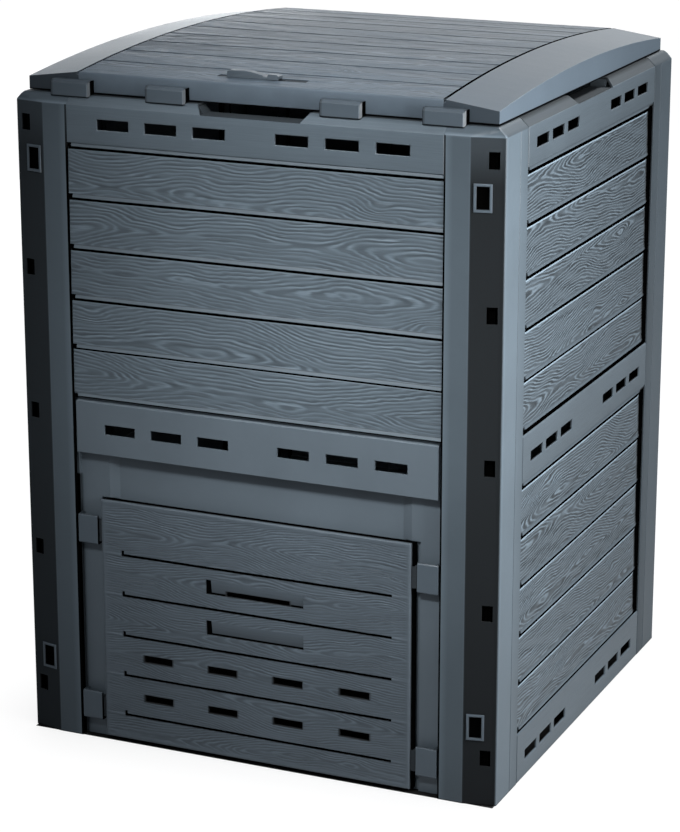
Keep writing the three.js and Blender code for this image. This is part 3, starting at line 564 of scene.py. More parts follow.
def wall_rows(tier, row_step, wall):
    """Rows of a wall section from its foot up, front and back, with the pairs between them.

    Front rows are depth, height, painted light, board number or -1 and height on the board. Back
    rows are depth and height. Over a board the depth grows from 0.9 by 1.1 times its share
    climbed.
    """
    front, back, twins = [], [], []
    ledge_highlight, slope, shadow = wall["ledge_highlight"], wall["slope"], wall["shadow"]

    def plain(*rows):
        front.extend((*row, -1, 0) for row in rows)

    def both(depth, z, painted_light, back_depth, back_z):
        twins.append((len(front), len(back)))
        plain((depth, z, painted_light))
        back.append((back_depth, back_z))

    def slot(z):
        low, high = z - SLOT_HALF[1], z + SLOT_HALF[1]
        plain((0.0, low - 2.0, 1.0), (0.0, low - 0.9, 1.0))
        both(0.0, low, 1.0, SKIN, low)
        both(0.0, high, 1.0, SKIN, high)
        plain((0.0, high + 0.9, 1.0), (0.0, high + 2.0, 1.0))

    # A shoulder under a band: painted highlight on its edge, black painted shade in the groove
    def shoulder(z, painted_light):
        plain((0.0, z - 1.6, painted_light), (1.6, z, 1.3), (1.8, z, 0.0), (4.4, z, 0.0))
        back.extend(((SKIN, z - SKIN), (GROOVE_DEPTH + SKIN, z - SKIN)))

    def run(start, end, foot):
        pitch = (end - start) / BOARDS
        for k in range(BOARDS + 1):
            low = start + k * pitch - GROOVE / 2 + (1.2 if foot > start and k == 0 else 0.0)
            last = k == BOARDS
            plain(*groove_rows(foot if k == 0 else low, low, 0.0 if last else 0.9))
            edge = low + GROOVE
            if k > 0:
                back.append((GROOVE_DEPTH + SKIN, low - SKIN))
            back.extend(((GROOVE_DEPTH + SKIN, edge + SKIN), (LIP_DEPTH + SKIN, edge + SKIN)))
            if last:
                break
            top = low + pitch
            crest = top + wall["lift"]
            face = lines([edge + LIP_HEIGHT, crest - 3.0], row_step)
            share = (face - face[0]) / (face[-1] - face[0])
            for z, s in zip(face[1:], share[1:]):
                front.append((0.9 + 1.1 * s, z, 1.0, k, z - edge))
            # Painted highlight on the board's top edge, then black painted shade in the groove over
            # it
            plain((2.05, crest - 2.9, ledge_highlight), (2.5, crest - 1.2, ledge_highlight), (2.55, crest - 1.1, 0.0),
                  (3.2, crest, 0.0))
            back.append((2.0 + SKIN, top - SKIN))

    if tier == "upper":
        foot = TIER + CLEAR
        twins.append((0, 0))
        back.append((GROOVE_DEPTH + SKIN, foot))
        run(TIER, BAND_BOTTOM, foot)
        slot(SLOT_LEVELS[tier][0])
        rim_back = RIM_TOP - SKIN
        # The rim: painted highlight along its bend, painted shade on its slope and on its top under
        # the lid
        for row in (
            (0.0, RECESS_FOOT, 1.1, 3.5, RECESS_FOOT), (0.0, 925.7, 1.15, 3.9, 925.4),
            (0.4, 926.4, 1.15, 4.3, 925.8), (0.8, 926.8, slope, 4.7, 926.2),
            (7.6, 933.6, slope, 9.2, 931.0), (11.4, 937.4, shadow, 13.2, 934.7),
            (12.6, RIM_TOP, shadow, 14.2, rim_back), (16.0, RIM_TOP, 0.3, 17.0, rim_back),
            (SHELF, RIM_TOP, 0.3, SHELF, rim_back),
        ):
            both(*row)
    else:
        # The foot is painted dark as shade at the ground
        both(0.6, 0.0, 0.1, TONGUE_BACK, 0.0)
        plain((0.0, 0.6, 0.2), (0.0, 1.8, 0.95))
        back.extend(((TONGUE_BACK, SKIN), (SKIN, SKIN)))
        slot(SLOT_LEVELS[tier][0])
        low = FOOT_BAND_TOP - GROOVE / 2
        shoulder(low, 1.0)
        run(FOOT_BAND_TOP, MID_BAND_BOTTOM, low)
        slot(SLOT_LEVELS[tier][1])
        top = TIER - GROOVE / 2 - 1.5
        shoulder(top, 1.1)
        plain((GROOVE_DEPTH, top, 0.0))
        both(GROOVE_DEPTH, TIER, 0.0, GROOVE_DEPTH + SKIN, TIER)
    return np.array(front), np.array(back), twins


def wall_parts(wall, tier, seed, sizes, back_way):
    """Closed parts of one wall: the grained sheet with its vents, and the parts behind it.

    The front is a grid of points (x, depth, height), the rows of wall_rows carried along x. On
    a board the depth grows by relief height times (1 - relief of the grain), and on a narrow
    wall by sink clip((way x - end + 31) / 16) ^ 1.5 towards its back post. The finger recess
    leans open: x grows by 10 clip((height - 925) / 13) clip(1 - ||x| - 73| / 34) beside it.
    """
    front, back, twins = wall_rows(tier, sizes.row_step * 1000, wall)
    height, is_plain = front[:, 1], front[:, 3] < 0
    end = wall["end"]
    spans = slot_spans(wall)
    stops = {-end, -end + 0.5, -end + 6, -end + 6.3, end - 0.5, end, -RECESS_HALF, RECESS_HALF}
    for a, b in spans:
        stops.update((a - 2, a - 0.9, a, b, b + 0.9, b + 2))
    x_lines = lines(sorted(stops), sizes.column_step * 1000)
    count = len(x_lines)
    x = np.broadcast_to(x_lines, (len(front), count)).copy()
    depth, z, painted_light = (wide(front[:, k], count) for k in range(3))

    board_height = 67.0
    board_rows = [np.flatnonzero(front[:, 3] == k) for k in range(BOARDS)]
    boards = [(rows, wide(front[rows, 4], count), board_height) for rows in board_rows]
    ring, vein, relief = board_grain(x, boards, seed, sizes.ring * 1000 * wall["ring"])
    depth += (1 - relief) * sizes.relief * 1000
    vein *= wall["depth"]

    # Where there is no grain, the ring is that of the nearest board, so that nothing blurs
    boarded, plain = np.flatnonzero(~is_plain), np.flatnonzero(is_plain)
    ring[plain] = ring[boarded[np.abs(plain[:, None] - boarded[None]).argmin(axis=1)]]

    # Notch at the left end of each lip, painted black as shade
    start, stop = BOARD_SPANS[tier]
    over_groove = (height - start - GROOVE / 2 + 0.01) % ((stop - start) / BOARDS)
    in_lip = is_plain & (front[:, 0] <= LIP_DEPTH) & (front[:, 2] > 0.39)
    in_lip &= (over_groove < LIP_HEIGHT) & (height > start) & (height < stop + 10)
    notch = in_lip[:, None] & (x < -end + 6.1)
    depth[notch] = 3.4
    painted_light[notch] = 0.0

    # The boards of a narrow wall round off before its back post, where the post's shadow is painted
    # on them, and every end is rounded with a little painted shade
    edge = (np.abs(x) > end - 0.25) & (depth < 3)
    run = (height > start) & (height < stop + 6) & (wall["sink"] > 0)
    far = np.clip((back_way * x - end + 31) / 16, 0, 1) ** 1.5 * run[:, None]
    depth = np.where(front[:, :1] < 3, depth + wall["sink"] * far, depth)
    painted_light *= 1 - far
    depth[edge] += 0.5
    painted_light[edge] *= 0.8

    # Vent slots, with a painted highlight on each one's lower rim and painted shade on its upper
    # rim, and the finger recess
    keep = np.ones((len(front) - 1, count - 1), bool)
    middles = between(x_lines)
    in_slot, rim = within(middles, spans), within(x_lines, spans, 0.01)
    for level in SLOT_LEVELS[tier]:
        row = np.flatnonzero(np.abs(height - (level - SLOT_HALF[1])) < 1e-6)[0]
        keep[row] &= ~in_slot
        depth[row : row + 2] = np.where(rim, 0.75, depth[row : row + 2])
        painted_light[row] = np.where(rim, 1.3, painted_light[row])
        painted_light[row + 1] = np.where(rim, 0.5, painted_light[row + 1])
    x_back = np.broadcast_to(x_lines, (len(back), count)).copy()
    if tier == "upper":
        recess = np.flatnonzero(np.abs(height - RECESS_FOOT) < 1e-6)[0]
        keep[recess:] &= ~(np.abs(middles) < RECESS_HALF)[None]
        for grid, heights in ((x, height), (x_back, back[:, 1])):
            flare = np.clip((heights - RECESS_FOOT) / 13, 0, 1)[:, None] * 10
            near = np.clip(1 - np.abs(np.abs(grid) - RECESS_HALF) / 34, 0, 1)
            grid += np.sign(grid) * flare * near * (np.abs(grid) >= RECESS_HALF - 0.1)
    outer = np.stack([x, depth, z], axis=-1)
    inner = np.stack([x_back, wide(back[:, 0], count), wide(back[:, 1], count)], axis=-1)
    marks = plate_marks(inner, twins, keep, painted_light, ring, vein)
    return [(plate(outer, inner, twins, keep), marks), *parts_behind(wall, tier, front, back_way)]


def parts_behind(wall, tier, front, back_way):
    """Closed parts behind a wall's sheet: tongues, end walls, ribs and the tray of the recess."""
    end, (start, stop) = wall["end"], BOARD_SPANS[tier]
    low, high = (TIER + CLEAR, WALL_TOP - SKIN - CLEAR) if tier == "upper" else (0.0, TIER)
    reach, tongue_front = wall["tongue"], TONGUE_BACK - SKIN
    hook = [(end - 4, TONGUE_BACK), (end - 4, tongue_front), (reach - 3, tongue_front),
            (reach - 3, 3.3), (reach, 3.3), (reach, TONGUE_BACK)]
    # The number with each part is its painted light: painted shade behind the sheet, the end walls
    # painted black, and the recess's tray painted dark
    parts = [(prism(hook, 2, low, high), 0.5),
             (prism([(-a, b) for a, b in hook][::-1], 2, low, high), 0.5)]
    section = [(d, h) for d, h, *_ in front if d < TONGUE_BACK]
    for sign in (-1, 1):
        inset = 0.8 + (wall["sink"] if sign == back_way else 0.0)
        inside = [(d + inset, h) for d, h in section[:: max(1, len(section) // 90)]]
        outline = [*inside, (TONGUE_BACK, inside[-1][1]), (TONGUE_BACK, inside[0][1])]
        parts.append((prism(outline[::-1], 0, *mirrored(sign, end - 4, end - 0.6)), 0.0))
    beside = wall["offset"] - wall["pitch"] / 2
    for middle in (-beside, beside):
        rib = box((middle - 1.5, middle + 1.5), (8.5, TONGUE_BACK), (start + 4, stop))
        parts.append((rib, 0.7))
    if tier == "upper":
        tray = [(-76, 922), (76, 922), (86, 937.8), (83, 937.8), (RECESS_HALF, RECESS_FOOT),
                (-RECESS_HALF, RECESS_FOOT), (-83, 937.8), (-86, 937.8)]
        parts.append((prism([(z, x) for x, z in tray][::-1], 1, 12.0, SHELF), 0.35))
        parts.append((box((-76, 76), (1.2, 12.5), (922, RECESS_FOOT - 0.01)), 0.35))
    return parts


def door_parts(sizes, seed):
    """Closed parts of the hatch door: grained front with grooves, grips and vents, rim and hooks.

    The front is a grid of points (x, depth, height). The depth is 0.4 plus relief height times
    (1 - relief of the grain), both faded out at edges and joints, plus (1.6 - d) ^ 2 / 1.6 at a
    distance d under 1.6 from the outline. In a grip it is 0.5 + 3.3 (1 - share climbed).
    """
    half, foot, top, rim_back = 239.0, 6.0, 365.0, 13.7
    right = half - 3.5
    joint_end, notch_end, grip_end, slant_end, grip_height = 208.0, 204.0, 75.0, 67.0, 22.0
    joints = [43 + 60.75 * k for k in range(5)]
    grips = [joints[2] + 21.5, joints[3] + 21.5]
    vents = [((-1.5 + k) * 101.575, joints[row] + 30) for k in range(4) for row in range(2)]
    holes = [((-43.5, 53.5), (grips[1] + 0.4, grips[1] + 8))]
    holes += [((a - 22.5, a + 22.5), (b - 5.5, b + 5.5)) for a, b in vents]
    x_stops = {-half, -half + 0.8, -half + 1.6, right - 1.6, right - 0.8, right}
    x_stops.update((-notch_end, -notch_end + 0.3, -slant_end, -slant_end + 0.4))
    for end in (joint_end, grip_end):
        x_stops.update((-end - 0.3, -end, end, end + 0.3))
    z_stops = {foot, foot + 0.8, foot + 1.6, top - 1.6, top - 0.8, top}
    for g in joints:
        z_stops.update((g - 2.3, g - 2.0, g + 2.0, g + 2.3, g + 6.5, g + 6.8))
    for g in grips:
        z_stops.update((g - 0.1, g + 0.4, g + 3.2, g + 3.5, g + grip_height))
    for x_span, z_span in holes:
        x_stops.update(x_span)
        z_stops.update(z_span)
    xs = lines(sorted(x_stops), sizes.column_step * 1000)
    zs = lines(sorted(z_stops), sizes.row_step * 1000)
    z, x = np.meshgrid(zs, xs, indexing="ij")
    borders, boards = [foot - 1, *joints, top + 1], []
    for a, b in zip(borders[:-1], borders[1:]):
        rows = (zs >= a) & (zs < b)
        boards.append((rows, z[rows] - a, b - a))
    ring, vein, relief = board_grain(x, boards, seed, sizes.ring * 720)
    to_edge = np.minimum.reduce([x + half, right - x, z - foot, top - z])
    from_joint = np.abs(z[..., None] - np.array(joints)).min(axis=-1)
    grained = np.clip((to_edge - 4) / 4, 0, 1) * np.clip((from_joint - 1) / 1.5, 0, 1)
    vein *= 0.75 * grained
    depth = 0.4 * grained + (1 - relief) * grained * sizes.relief * 1000
    depth += np.clip(1.6 - to_edge, 0, 1.6) ** 2 / 1.6
    painted_light = np.ones_like(x)

    # Joints with a notch at their left end, painted black as shade, and grips with painted shade
    # that deepens down into the scoop and is black at its foot and end
    for g in joints:
        carved = (np.abs(z - g) < 2.1) | ((z > g) & (z < g + 6.6) & (x < -notch_end + 0.1))
        carved &= np.abs(x) < joint_end + 0.1
        depth[carved] = 3.2
        painted_light[carved] = vein[carved] = 0
    for g in grips:
        scoop = (z > g) & (z < g + grip_height - 0.1) & (np.abs(x) < grip_end + 0.1)
        climbed = (z[scoop] - g) / grip_height
        depth[scoop] = 0.5 + 3.3 * (1 - climbed)
        painted_light[scoop] = 0.55 + 0.5 * np.clip(climbed, 0, 1)
        vein[scoop] = 0
        end = scoop & (x < -slant_end + 0.1)
        depth[end] = 3.8
        painted_light[end | (scoop & (z < g + 3.3))] = 0.0

    # The rims of the vents and of the finger slot are painted dark as shade
    keep = np.ones((len(zs) - 1, len(xs) - 1), bool)
    holed = np.zeros(len(zs), bool)
    holed[[0, -1]] = True
    for x_span, z_span in holes:
        keep &= ~(within(between(zs), [z_span])[:, None] & within(between(xs), [x_span]))
        beside = within(zs, [z_span], 0.01)
        holed |= beside
        painted_light[beside[:, None] & within(xs, [x_span], 0.01)] = 0.12
    back_rows = np.flatnonzero(holed)
    twins = [(int(row), k) for k, row in enumerate(back_rows)]
    outer = np.stack([x, depth, z], axis=-1)
    inner = sheet(xs, np.full(len(back_rows), 5.5), zs[back_rows])
    parts = [(plate(outer, inner, twins, keep), plate_marks(inner, twins, keep, painted_light, ring, vein))]

    # Rim, ribs and hooks, with painted shade: the rim round the door is painted black
    for sign in (-1, 1):
        parts.append((box(mirrored(sign, half - 6, half), (5.4, rim_back), (foot, top)), 0.0))
        rib = mirrored(sign, 108.5, 111.5)
        parts.append((box(rib, (5.3, rim_back), (foot + 3, top - 3)), 0.7))
        for hook_foot in (32.8, 300.8):
            hook = mirrored(sign, half - 6, 270.5)
            parts.append((box(hook, (4.5, 12.5), (hook_foot, hook_foot + 31)), 0.3))
    for low in (foot, top - 6):
        parts.append((box((-half + 5.9, half - 5.9), (5.4, rim_back), (low, low + 6)), 0.0))
    return parts


def lid_parts(sizes, seed):
    """Closed parts of the lid panel: arched grained top, edge walls, end walls and ribs.

    The top's height over a depth y is edge + rise (1 - (y / half) ^ 2), less 0.8 times the
    relief height times (1 - relief of the grain), and less a step in the joints and in the
    catch's track.
    """
    half, end, foot, edge, rise = 339.0, 267.7, 939.5, 968.0, 17.0
    inner_half, rib_half = half - 3, half - 2.5
    pitch = 2 * half / LID_BOARDS
    catch_y, track, slot = -303.0, (-72.0, 59.0), (-24.3, 26.3)

    def arch(y, height):
        return height + rise * (1 - (y / half) ** 2)

    stops = {-half + 2.4, half - 2.4}
    for k in range(1, LID_BOARDS):
        y = -half + k * pitch
        stops.update((y - 2.3, y - 1.9, y, y + 1.9, y + 2.3))
    stops.update(catch_y + d for d in (-5.8, -5.5, -2.8, 2.8, 5.5, 5.8))
    ys = lines(sorted(stops), sizes.lid_row_step * 1000)
    x_stops = {track[0] - 0.3, *track, *slot, track[1] + 0.3}
    for inward in (0.0, 0.5, 1.3, 1.5):
        x_stops.update((-end + inward, end - inward))
    xs = lines(sorted(x_stops), sizes.column_step * 1250)
    count = len(xs)
    y, x = np.meshgrid(ys, xs, indexing="ij")
    on = np.clip(((ys + half) / pitch).astype(int), 0, LID_BOARDS - 1)
    boards = [(on == k, y[on == k] + half - k * pitch, pitch) for k in range(LID_BOARDS)]
    ring, vein, relief = board_grain(x, boards, seed, sizes.ring * 1000)
    along_board = (ys + half) % pitch
    from_joint = np.minimum(along_board, pitch - along_board)
    from_joint[np.abs(ys) >= half - 10] = pitch
    sink = (1 - relief) * sizes.relief * 800
    # Painted light on the top: a painted highlight beside each joint, black painted shade in the
    # joints and at both ends, and painted shade in the catch's track
    painted_light = np.ones_like(x)
    near = from_joint < 2.4
    vein[near] = sink[near] = 0
    painted_light[near] = 1.1
    joint = from_joint < 2.0
    sink[joint] = 2.5
    painted_light[joint] = 0.0
    in_track = (np.abs(y - catch_y) < 5.6) & (x > track[0] - 0.1) & (x < track[1] + 0.1)
    sink[in_track] = 1.5
    painted_light[in_track] = 0.25
    vein[in_track] = 0
    painted_light[np.abs(x) > end - 1.4] = 0.0
    top = np.stack([x, y, wide(arch(ys, edge), count) - sink], axis=-1)

    # Edge walls in front of and behind the top, from their foot up: depth, height and painted
    # light, black at the foot as the shadow under the lid and with a painted highlight on the
    # rounded top
    wall = np.array([(half, foot, 0.0), (half, foot + 1.4, 0.0), (half, foot + 1.9, 0.8),
                     (half, edge - 2.2, 1.0), (half - 0.7, edge - 0.9, 1.1),
                     (half - 1.4, edge - 0.2, 1.15)])
    extra = len(wall)
    behind = wall[::-1]
    outer = np.concatenate([sheet(xs, -wall[:, 0], wall[:, 1]), top,
                            sheet(xs, behind[:, 0], behind[:, 1])])
    painted_light = np.concatenate([wide(wall[:, 2], count), painted_light, wide(behind[:, 2], count)])
    vein = np.pad(vein, ((extra, extra), (0, 0)))
    ring = np.pad(ring, ((extra, extra), (0, 0)), mode="edge")
    slot_rows = np.flatnonzero(np.abs(outer[:, 0, 1] - catch_y) < 2.81)
    keep = np.ones((len(outer) - 1, count - 1), bool)
    keep[slot_rows[0] : slot_rows[-1]] &= ~within(between(xs), [slot])

    # Underside: its rows of depth and height, finer only at the catch's slot
    under = edge - 5.5
    coarse = np.linspace(-inner_half, inner_half, 41)
    slot_y = outer[slot_rows, 0, 1]
    ahead, beyond = coarse[coarse < slot_y[0] - 2], coarse[coarse > slot_y[-1] + 2]
    back = [(-inner_half, foot), *((v, arch(v, under)) for v in (*ahead, *slot_y, *beyond)),
            (inner_half, foot)]
    first = 1 + len(ahead)
    twins = [(0, 0), *((int(row), first + k) for k, row in enumerate(slot_rows)),
             (len(outer) - 1, len(back) - 1)]
    inner = sheet(xs, *np.array(back).T)
    parts = [(plate(outer, inner, twins, keep), plate_marks(inner, twins, keep, painted_light, ring, vein))]

    # End walls and ribs, with painted shade
    curve = np.linspace(-rib_half, rib_half, 41)
    for sign in (-1, 1):
        outline = [(rib_half, foot), *((v, arch(v, edge - 3)) for v in curve[::-1]),
                   (-rib_half, foot)]
        parts.append((prism(outline, 0, *mirrored(sign, end - 3, end - 0.3)), 0.8))
        rib = [*((v, arch(v, edge - 5)) for v in curve[::-1]),
               *((v, arch(v, edge - 11.5)) for v in curve)]
        parts.append((prism(rib, 0, sign * 134 - 1.5, sign * 134 + 1.5), 0.7))
    return parts


def at_corner(sign_x, sign_y, a, b, z):
    """Points near a corner of the bin, a in from the side and b in from the front or back."""
    return np.stack([sign_x * (HALF - a), sign_y * (HALF - b), z], axis=-1)


def post_parts(sign_x, sign_y):
    """Closed parts of a corner post: bent skin with its holes and hipped cap, and pocket walls.

    Seen from above the skin is a chain of points (a, b), in from the side and in from the
    front or back. A row at inset s of the hip has the points (max(a, s), max(b, s)). The painted
    light grows by 0.22 clip((height - 868) / 45) on faces painted in deep shade, and painted
    shade darkens it by 0.14 towards the ground.
    """
    # Holes in the slanted face: their start and end along it, low and high
    holes = [(23.5, 38.5, share * RIM_TOP - 11.5, share * RIM_TOP + 11.5)
             for share in (0.0735, 0.2974, 0.515, 0.737, 0.9552)]
    holes += [(8.0, 26.0, middle - 15.5, middle + 15.5) for middle in PLUG_LEVELS.values()]

    # Chain from the front or back face over the slanted face to the side: a, b, the way to the
    # inner skin and the painted light. The flange's end beside the frame is painted black as a
    # shadow gap with a painted highlight beside it, the slanted face is painted in deep shade,
    # deeper on the right posts, and the side is painted lit, brighter on the front posts.
    flange, light = 0.82, 1.35 if sign_y < 0 else 0.9
    dark = 0.08 if sign_x > 0 else 0.2
    chain = [(a, b, 0, SKIN, painted_light) for a, b, painted_light in (
        (82.8, 0.6, 0.0), (82.2, 0.0, 0.0), (80.4, 0.0, 0.0), (80.0, 0.0, 1.15),
        (78.8, 0.0, 1.1), (70.0, 0.0, flange), (48.0, 0.0, flange), (46.5, 0.0, flange * 1.1),
    )]
    for along in (0.5, 2.0, 8.0, 16.0, 23.5, 26.0, 32.0, 38.5, 43.0):
        chain.append((SLANT[0] - along * SLANT_COS, along * SLANT_SIN, SLANT_SIN * SKIN,
                      SLANT_COS * SKIN, dark * (1.6 if along < 1 else 1.0)))
    round_r, first = 2.6, math.atan2(SLANT_COS, SLANT_SIN)
    for k in range(7):
        bend = first * (1 - k / 6)
        painted_light = dark + (light * 1.15 - dark) * k / 6
        a, b = round_r - round_r * math.cos(bend), 11.55 - round_r * math.sin(bend)
        chain.append((a, b, math.cos(bend) * SKIN, math.sin(bend) * SKIN, painted_light))
    for b, dip, painted_light in ((16.0, 0, light), (40.0, 0, light), (60.9, 0, light), (61.6, 0.8, 0.3),
                         (62.2, 0.8, 0.3), (62.9, 0, light * 0.9), (76.0, 0, light * 0.85),
                         (89.5, 0, light * 0.8), (90.0, 0.5, light * 0.8)):
        chain.append((dip, b, SKIN - dip, 0, painted_light))
    chain = np.array(chain)
    count = len(chain)
    along = (SLANT[0] - chain[:, 0]) / SLANT_COS
    on_face = (chain[:, 1] > 0.01) & (chain[:, 0] > 0.5) & (chain[:, 0] < SLANT[0])

    # Rows from the foot up: height and inset
    cuts = sorted({z for hole in holes for z in hole[2:]})
    rows = np.array([
        (0.0, 0.0), (0.6, 0.0), (1.8, 0.0), *((z, 0.0) for z in cuts), (923.0, 0.0), (925.4, 0.0),
        (926.6, 0.6), (WALL_TOP + 4, 4.0), (WALL_TOP + 8.2, 8.2), (937.2, 11.2), (RIM_TOP, 12.6),
        (RIM_TOP, 15.5), (RIM_TOP, 16.5), (RIM_TOP, SHELF),
    ])
    a, b = (np.maximum(chain[:, k], rows[:, 1:]) for k in (0, 1))
    z = wide(rows[:, 0], count)
    on_side = chain[:, 1] > 12
    # Painted light by height: lighter towards the top on the shaded faces, the cap lighter in front
    # than at the side, painted shade on its top under the lid and at the foot, a painted highlight
    # along the cap's bend in front, and painted shade towards the ground
    painted_light = np.repeat(chain[None, :, 4], len(rows), axis=0)
    painted_light += np.clip((z - 868) / 45, 0, 1) * (painted_light < 0.5) * 0.22
    painted_light = np.where(z > WALL_TOP, np.where(on_side, 0.6, 0.95), painted_light)
    painted_light[-2:] = 0.3
    painted_light[:2] *= 0.3
    painted_light[rows[:, 0] == 926.6] *= np.where(on_side, 1, 1.8)
    painted_light *= np.where(z < 500, 0.86 + 0.14 * z / 500, 1.0)

    # Inner skin: rows of height and inset, where an inset of -1 keeps to the skin
    cut_rows = np.flatnonzero((rows[:, 1] == 0.0) & (rows[:, 0] < 923.5))
    back = np.array([*((rows[k, 0], -1.0) for k in cut_rows), (923.0, SHELF)])
    twins = [*((int(k), n) for n, k in enumerate(cut_rows)), (len(rows) - 1, len(back) - 1)]
    inner_a, inner_b = (
        np.where(back[:, 1:] < 0, chain[:, k] + chain[:, k + 2], np.maximum(chain[:, k], SHELF))
        for k in (0, 1)
    )
    keep = np.ones((len(rows) - 1, count - 1), bool)
    for near, far, low, high in holes:
        columns = on_face[:-1] & on_face[1:] & within(between(along), [(near, far)])
        keep &= ~(within(between(rows[:, 0]), [(low, high)])[:, None] & columns)

    outer = at_corner(sign_x, sign_y, a, b, z)
    inner = at_corner(sign_x, sign_y, inner_a, inner_b, wide(back[:, 0], count))
    if sign_x * sign_y > 0:
        outer, inner, keep, painted_light = outer[:, ::-1], inner[:, ::-1], keep[:, ::-1], painted_light[:, ::-1]
    # The inner skin is painted black as shade
    painted_lights = np.concatenate([painted_light.ravel(), np.zeros(len(back) * count)])
    parts = [(plate(outer, inner, twins, keep), painted_lights)]
    # Pocket walls, painted black where they show through the holes and in shade further in
    for a_span, b_span in (((53, 56), (2.9, 14.1)), ((17, 70), (14, 17)), ((14, 17), (14, 76)),
                           ((2.9, 14.1), (59, 62))):
        x = mirrored(sign_x, *(HALF - v for v in a_span))
        y = mirrored(sign_y, *(HALF - v for v in b_span))
        points, faces = box(x, y, (0, 923.5))
        deep = (HALF - np.abs(points[:, :2])).min(axis=1) > 16.9
        parts.append(((points, faces), np.where(deep, 0.5, 0.0)))
    return parts


def plug_parts(sign_x, sign_y, middle):
    """Closed parts of a lock plug: an oblong ring with rounded edges and its hollow shank.

    The ring is a rounded profile, (distance in from its outline, how far it stands proud, painted
    light), carried round a rectangle in the slanted face. Its hollow is painted black as shade and
    its crest has a painted highlight.
    """
    profile = np.array([
        (3.8, -3.2, 0.0), (3.8, 0.3, 0.0), (0.0, 0.3, 0.0), (0.0, 1.1, 0.5), (0.3, 1.7, 1.0),
        (0.9, 2.0, 1.1), (2.6, 2.0, 1.0), (3.4, 1.9, 0.8), (4.0, 1.2, 0.3), (4.2, 0.8, 0.0),
        (4.2, -2.7, 0.0),
    ])
    half_along, half_high = 12.5, 19.0
    along = 17 + np.array([-1, -1, 1, 1]) * (half_along - profile[:, :1])
    z = middle + np.array([-1, 1, 1, -1]) * (half_high - profile[:, :1])
    proud = wide(profile[:, 1], 4)
    a = SLANT[0] - along * SLANT_COS - proud * SLANT_SIN
    b = along * SLANT_SIN - proud * SLANT_COS
    points = at_corner(sign_x, sign_y, a, b, z).reshape(-1, 3)
    here = np.arange(profile.shape[0] * 4).reshape(-1, 4)
    following = np.roll(here, -1, axis=1)
    quads = np.stack([here[:-1], following[:-1], following[1:], here[1:]], axis=-1)
    faces = [quads.reshape(-1, 4), here[:1, ::-1], here[-1:]]
    if sign_x * sign_y < 0:
        faces = [face[:, ::-1] for face in faces]
    return [((points, faces), np.repeat(profile[:, 2], 4))]


class BinSizes(bpy.types.PropertyGroup):
    """Sizes and colours of the bin's finish that a user would change."""

    relief: bpy.props.FloatProperty(
        name="Relief", description="Depth of the grain lines", default=0.0007, unit="LENGTH"
    )
    ring: bpy.props.FloatProperty(
        name="Ring", description="Distance between grain lines", default=0.0052, unit="LENGTH"
    )
    row_step: bpy.props.FloatProperty(
        name="Row step", description="Mesh step across the boards", default=0.0011, unit="LENGTH"
    )
    column_step: bpy.props.FloatProperty(
        name="Column step", description="Mesh step along the boards", default=0.0035, unit="LENGTH"
    )
    lid_row_step: bpy.props.FloatProperty(
        name="Lid row step", description="Mesh step across the lid's boards", default=0.0014,
        unit="LENGTH",
    )
    edge_round: bpy.props.FloatProperty(
        name="Edge rounding", description="Bevel on plain moulded edges", default=0.0008,
        unit="LENGTH",
    )
    wall_colour: bpy.props.FloatVectorProperty(
        name="Wall colour", description="Plastic of the walls", subtype="COLOR_GAMMA",
        default=(0.335, 0.375, 0.405), min=0, max=1,
    )
    lid_colour: bpy.props.FloatVectorProperty(
        name="Lid colour", description="Plastic of the lid", subtype="COLOR_GAMMA",
        default=(0.35, 0.395, 0.435), min=0, max=1,
    )
    door_colour: bpy.props.FloatVectorProperty(
        name="Door colour", description="Plastic of the hatch door", subtype="COLOR_GAMMA",
        default=(0.315, 0.35, 0.38), min=0, max=1,
    )
    frame_colour: bpy.props.FloatVectorProperty(
        name="Frame colour", description="Plastic of the hatch frame", subtype="COLOR_GAMMA",
        default=(0.357, 0.395, 0.425), min=0, max=1,
    )
    fitting_colour: bpy.props.FloatVectorProperty(
        name="Fitting colour", description="Plastic of clips, plugs and keepers",
        subtype="COLOR_GAMMA", default=(0.305, 0.343, 0.375), min=0, max=1,
    )


def bin_material(key):
    """Material of the bin by its use, made once."""
    sizes = bpy.context.scene.bin_sizes
    name = "plastic_" + key
    if name in bpy.data.materials:
        return bpy.data.materials[name]
    # Colour, stretch of the fibre marks, their strength, roughness, use of marks, index, painted
    # shade
    frame_like, small = ((60, 60, 60), 0.06, 0.42), ((80, 80, 80), 0.08, 0.44)
    fitting = (sizes.fitting_colour, *small, False)
    kinds = {
        "wall": (sizes.wall_colour, (16, 16, 900), 0.5, 0.44, True),
        "lid": (sizes.lid_colour, (16, 900, 16), 0.5, 0.42, True),
        "door": (sizes.door_colour, (16, 16, 900), 0.5, 0.46, True),
        "post": (sizes.wall_colour, *frame_like, True, 1.38),
        "plug": (sizes.fitting_colour, *small, True),
        "frame": (sizes.frame_colour, *frame_like, False, 1.5, frame_painted_shadow),
        "rail": (sizes.lid_colour, *frame_like, False, 1.5, rail_painted_light),
        "clip": (*fitting, 1.5, clip_painted_shade),
        "keeper": (*fitting, 1.5, keeper_painted_shade),
        "fitting": fitting,
    }
    return moulded_plastic(name, *kinds[key])


def dress_node(solid, material, width):
    """Gives a CAD solid its finish, with its loose corners joined and its edges rounded."""
    solid.data.materials.clear()
    solid.data.materials.append(material)
    weld = solid.modifiers.new("joined", "WELD")
    weld.merge_threshold = 0.00002
    bevel = solid.modifiers.new("rounded", "BEVEL")
    bevel.width = width
    bevel.segments = 2
    bevel.limit_method = "ANGLE"
    bevel.angle_limit = math.radians(30)
    bevel.harden_normals = False
    bevel.use_clamp_overlap = True


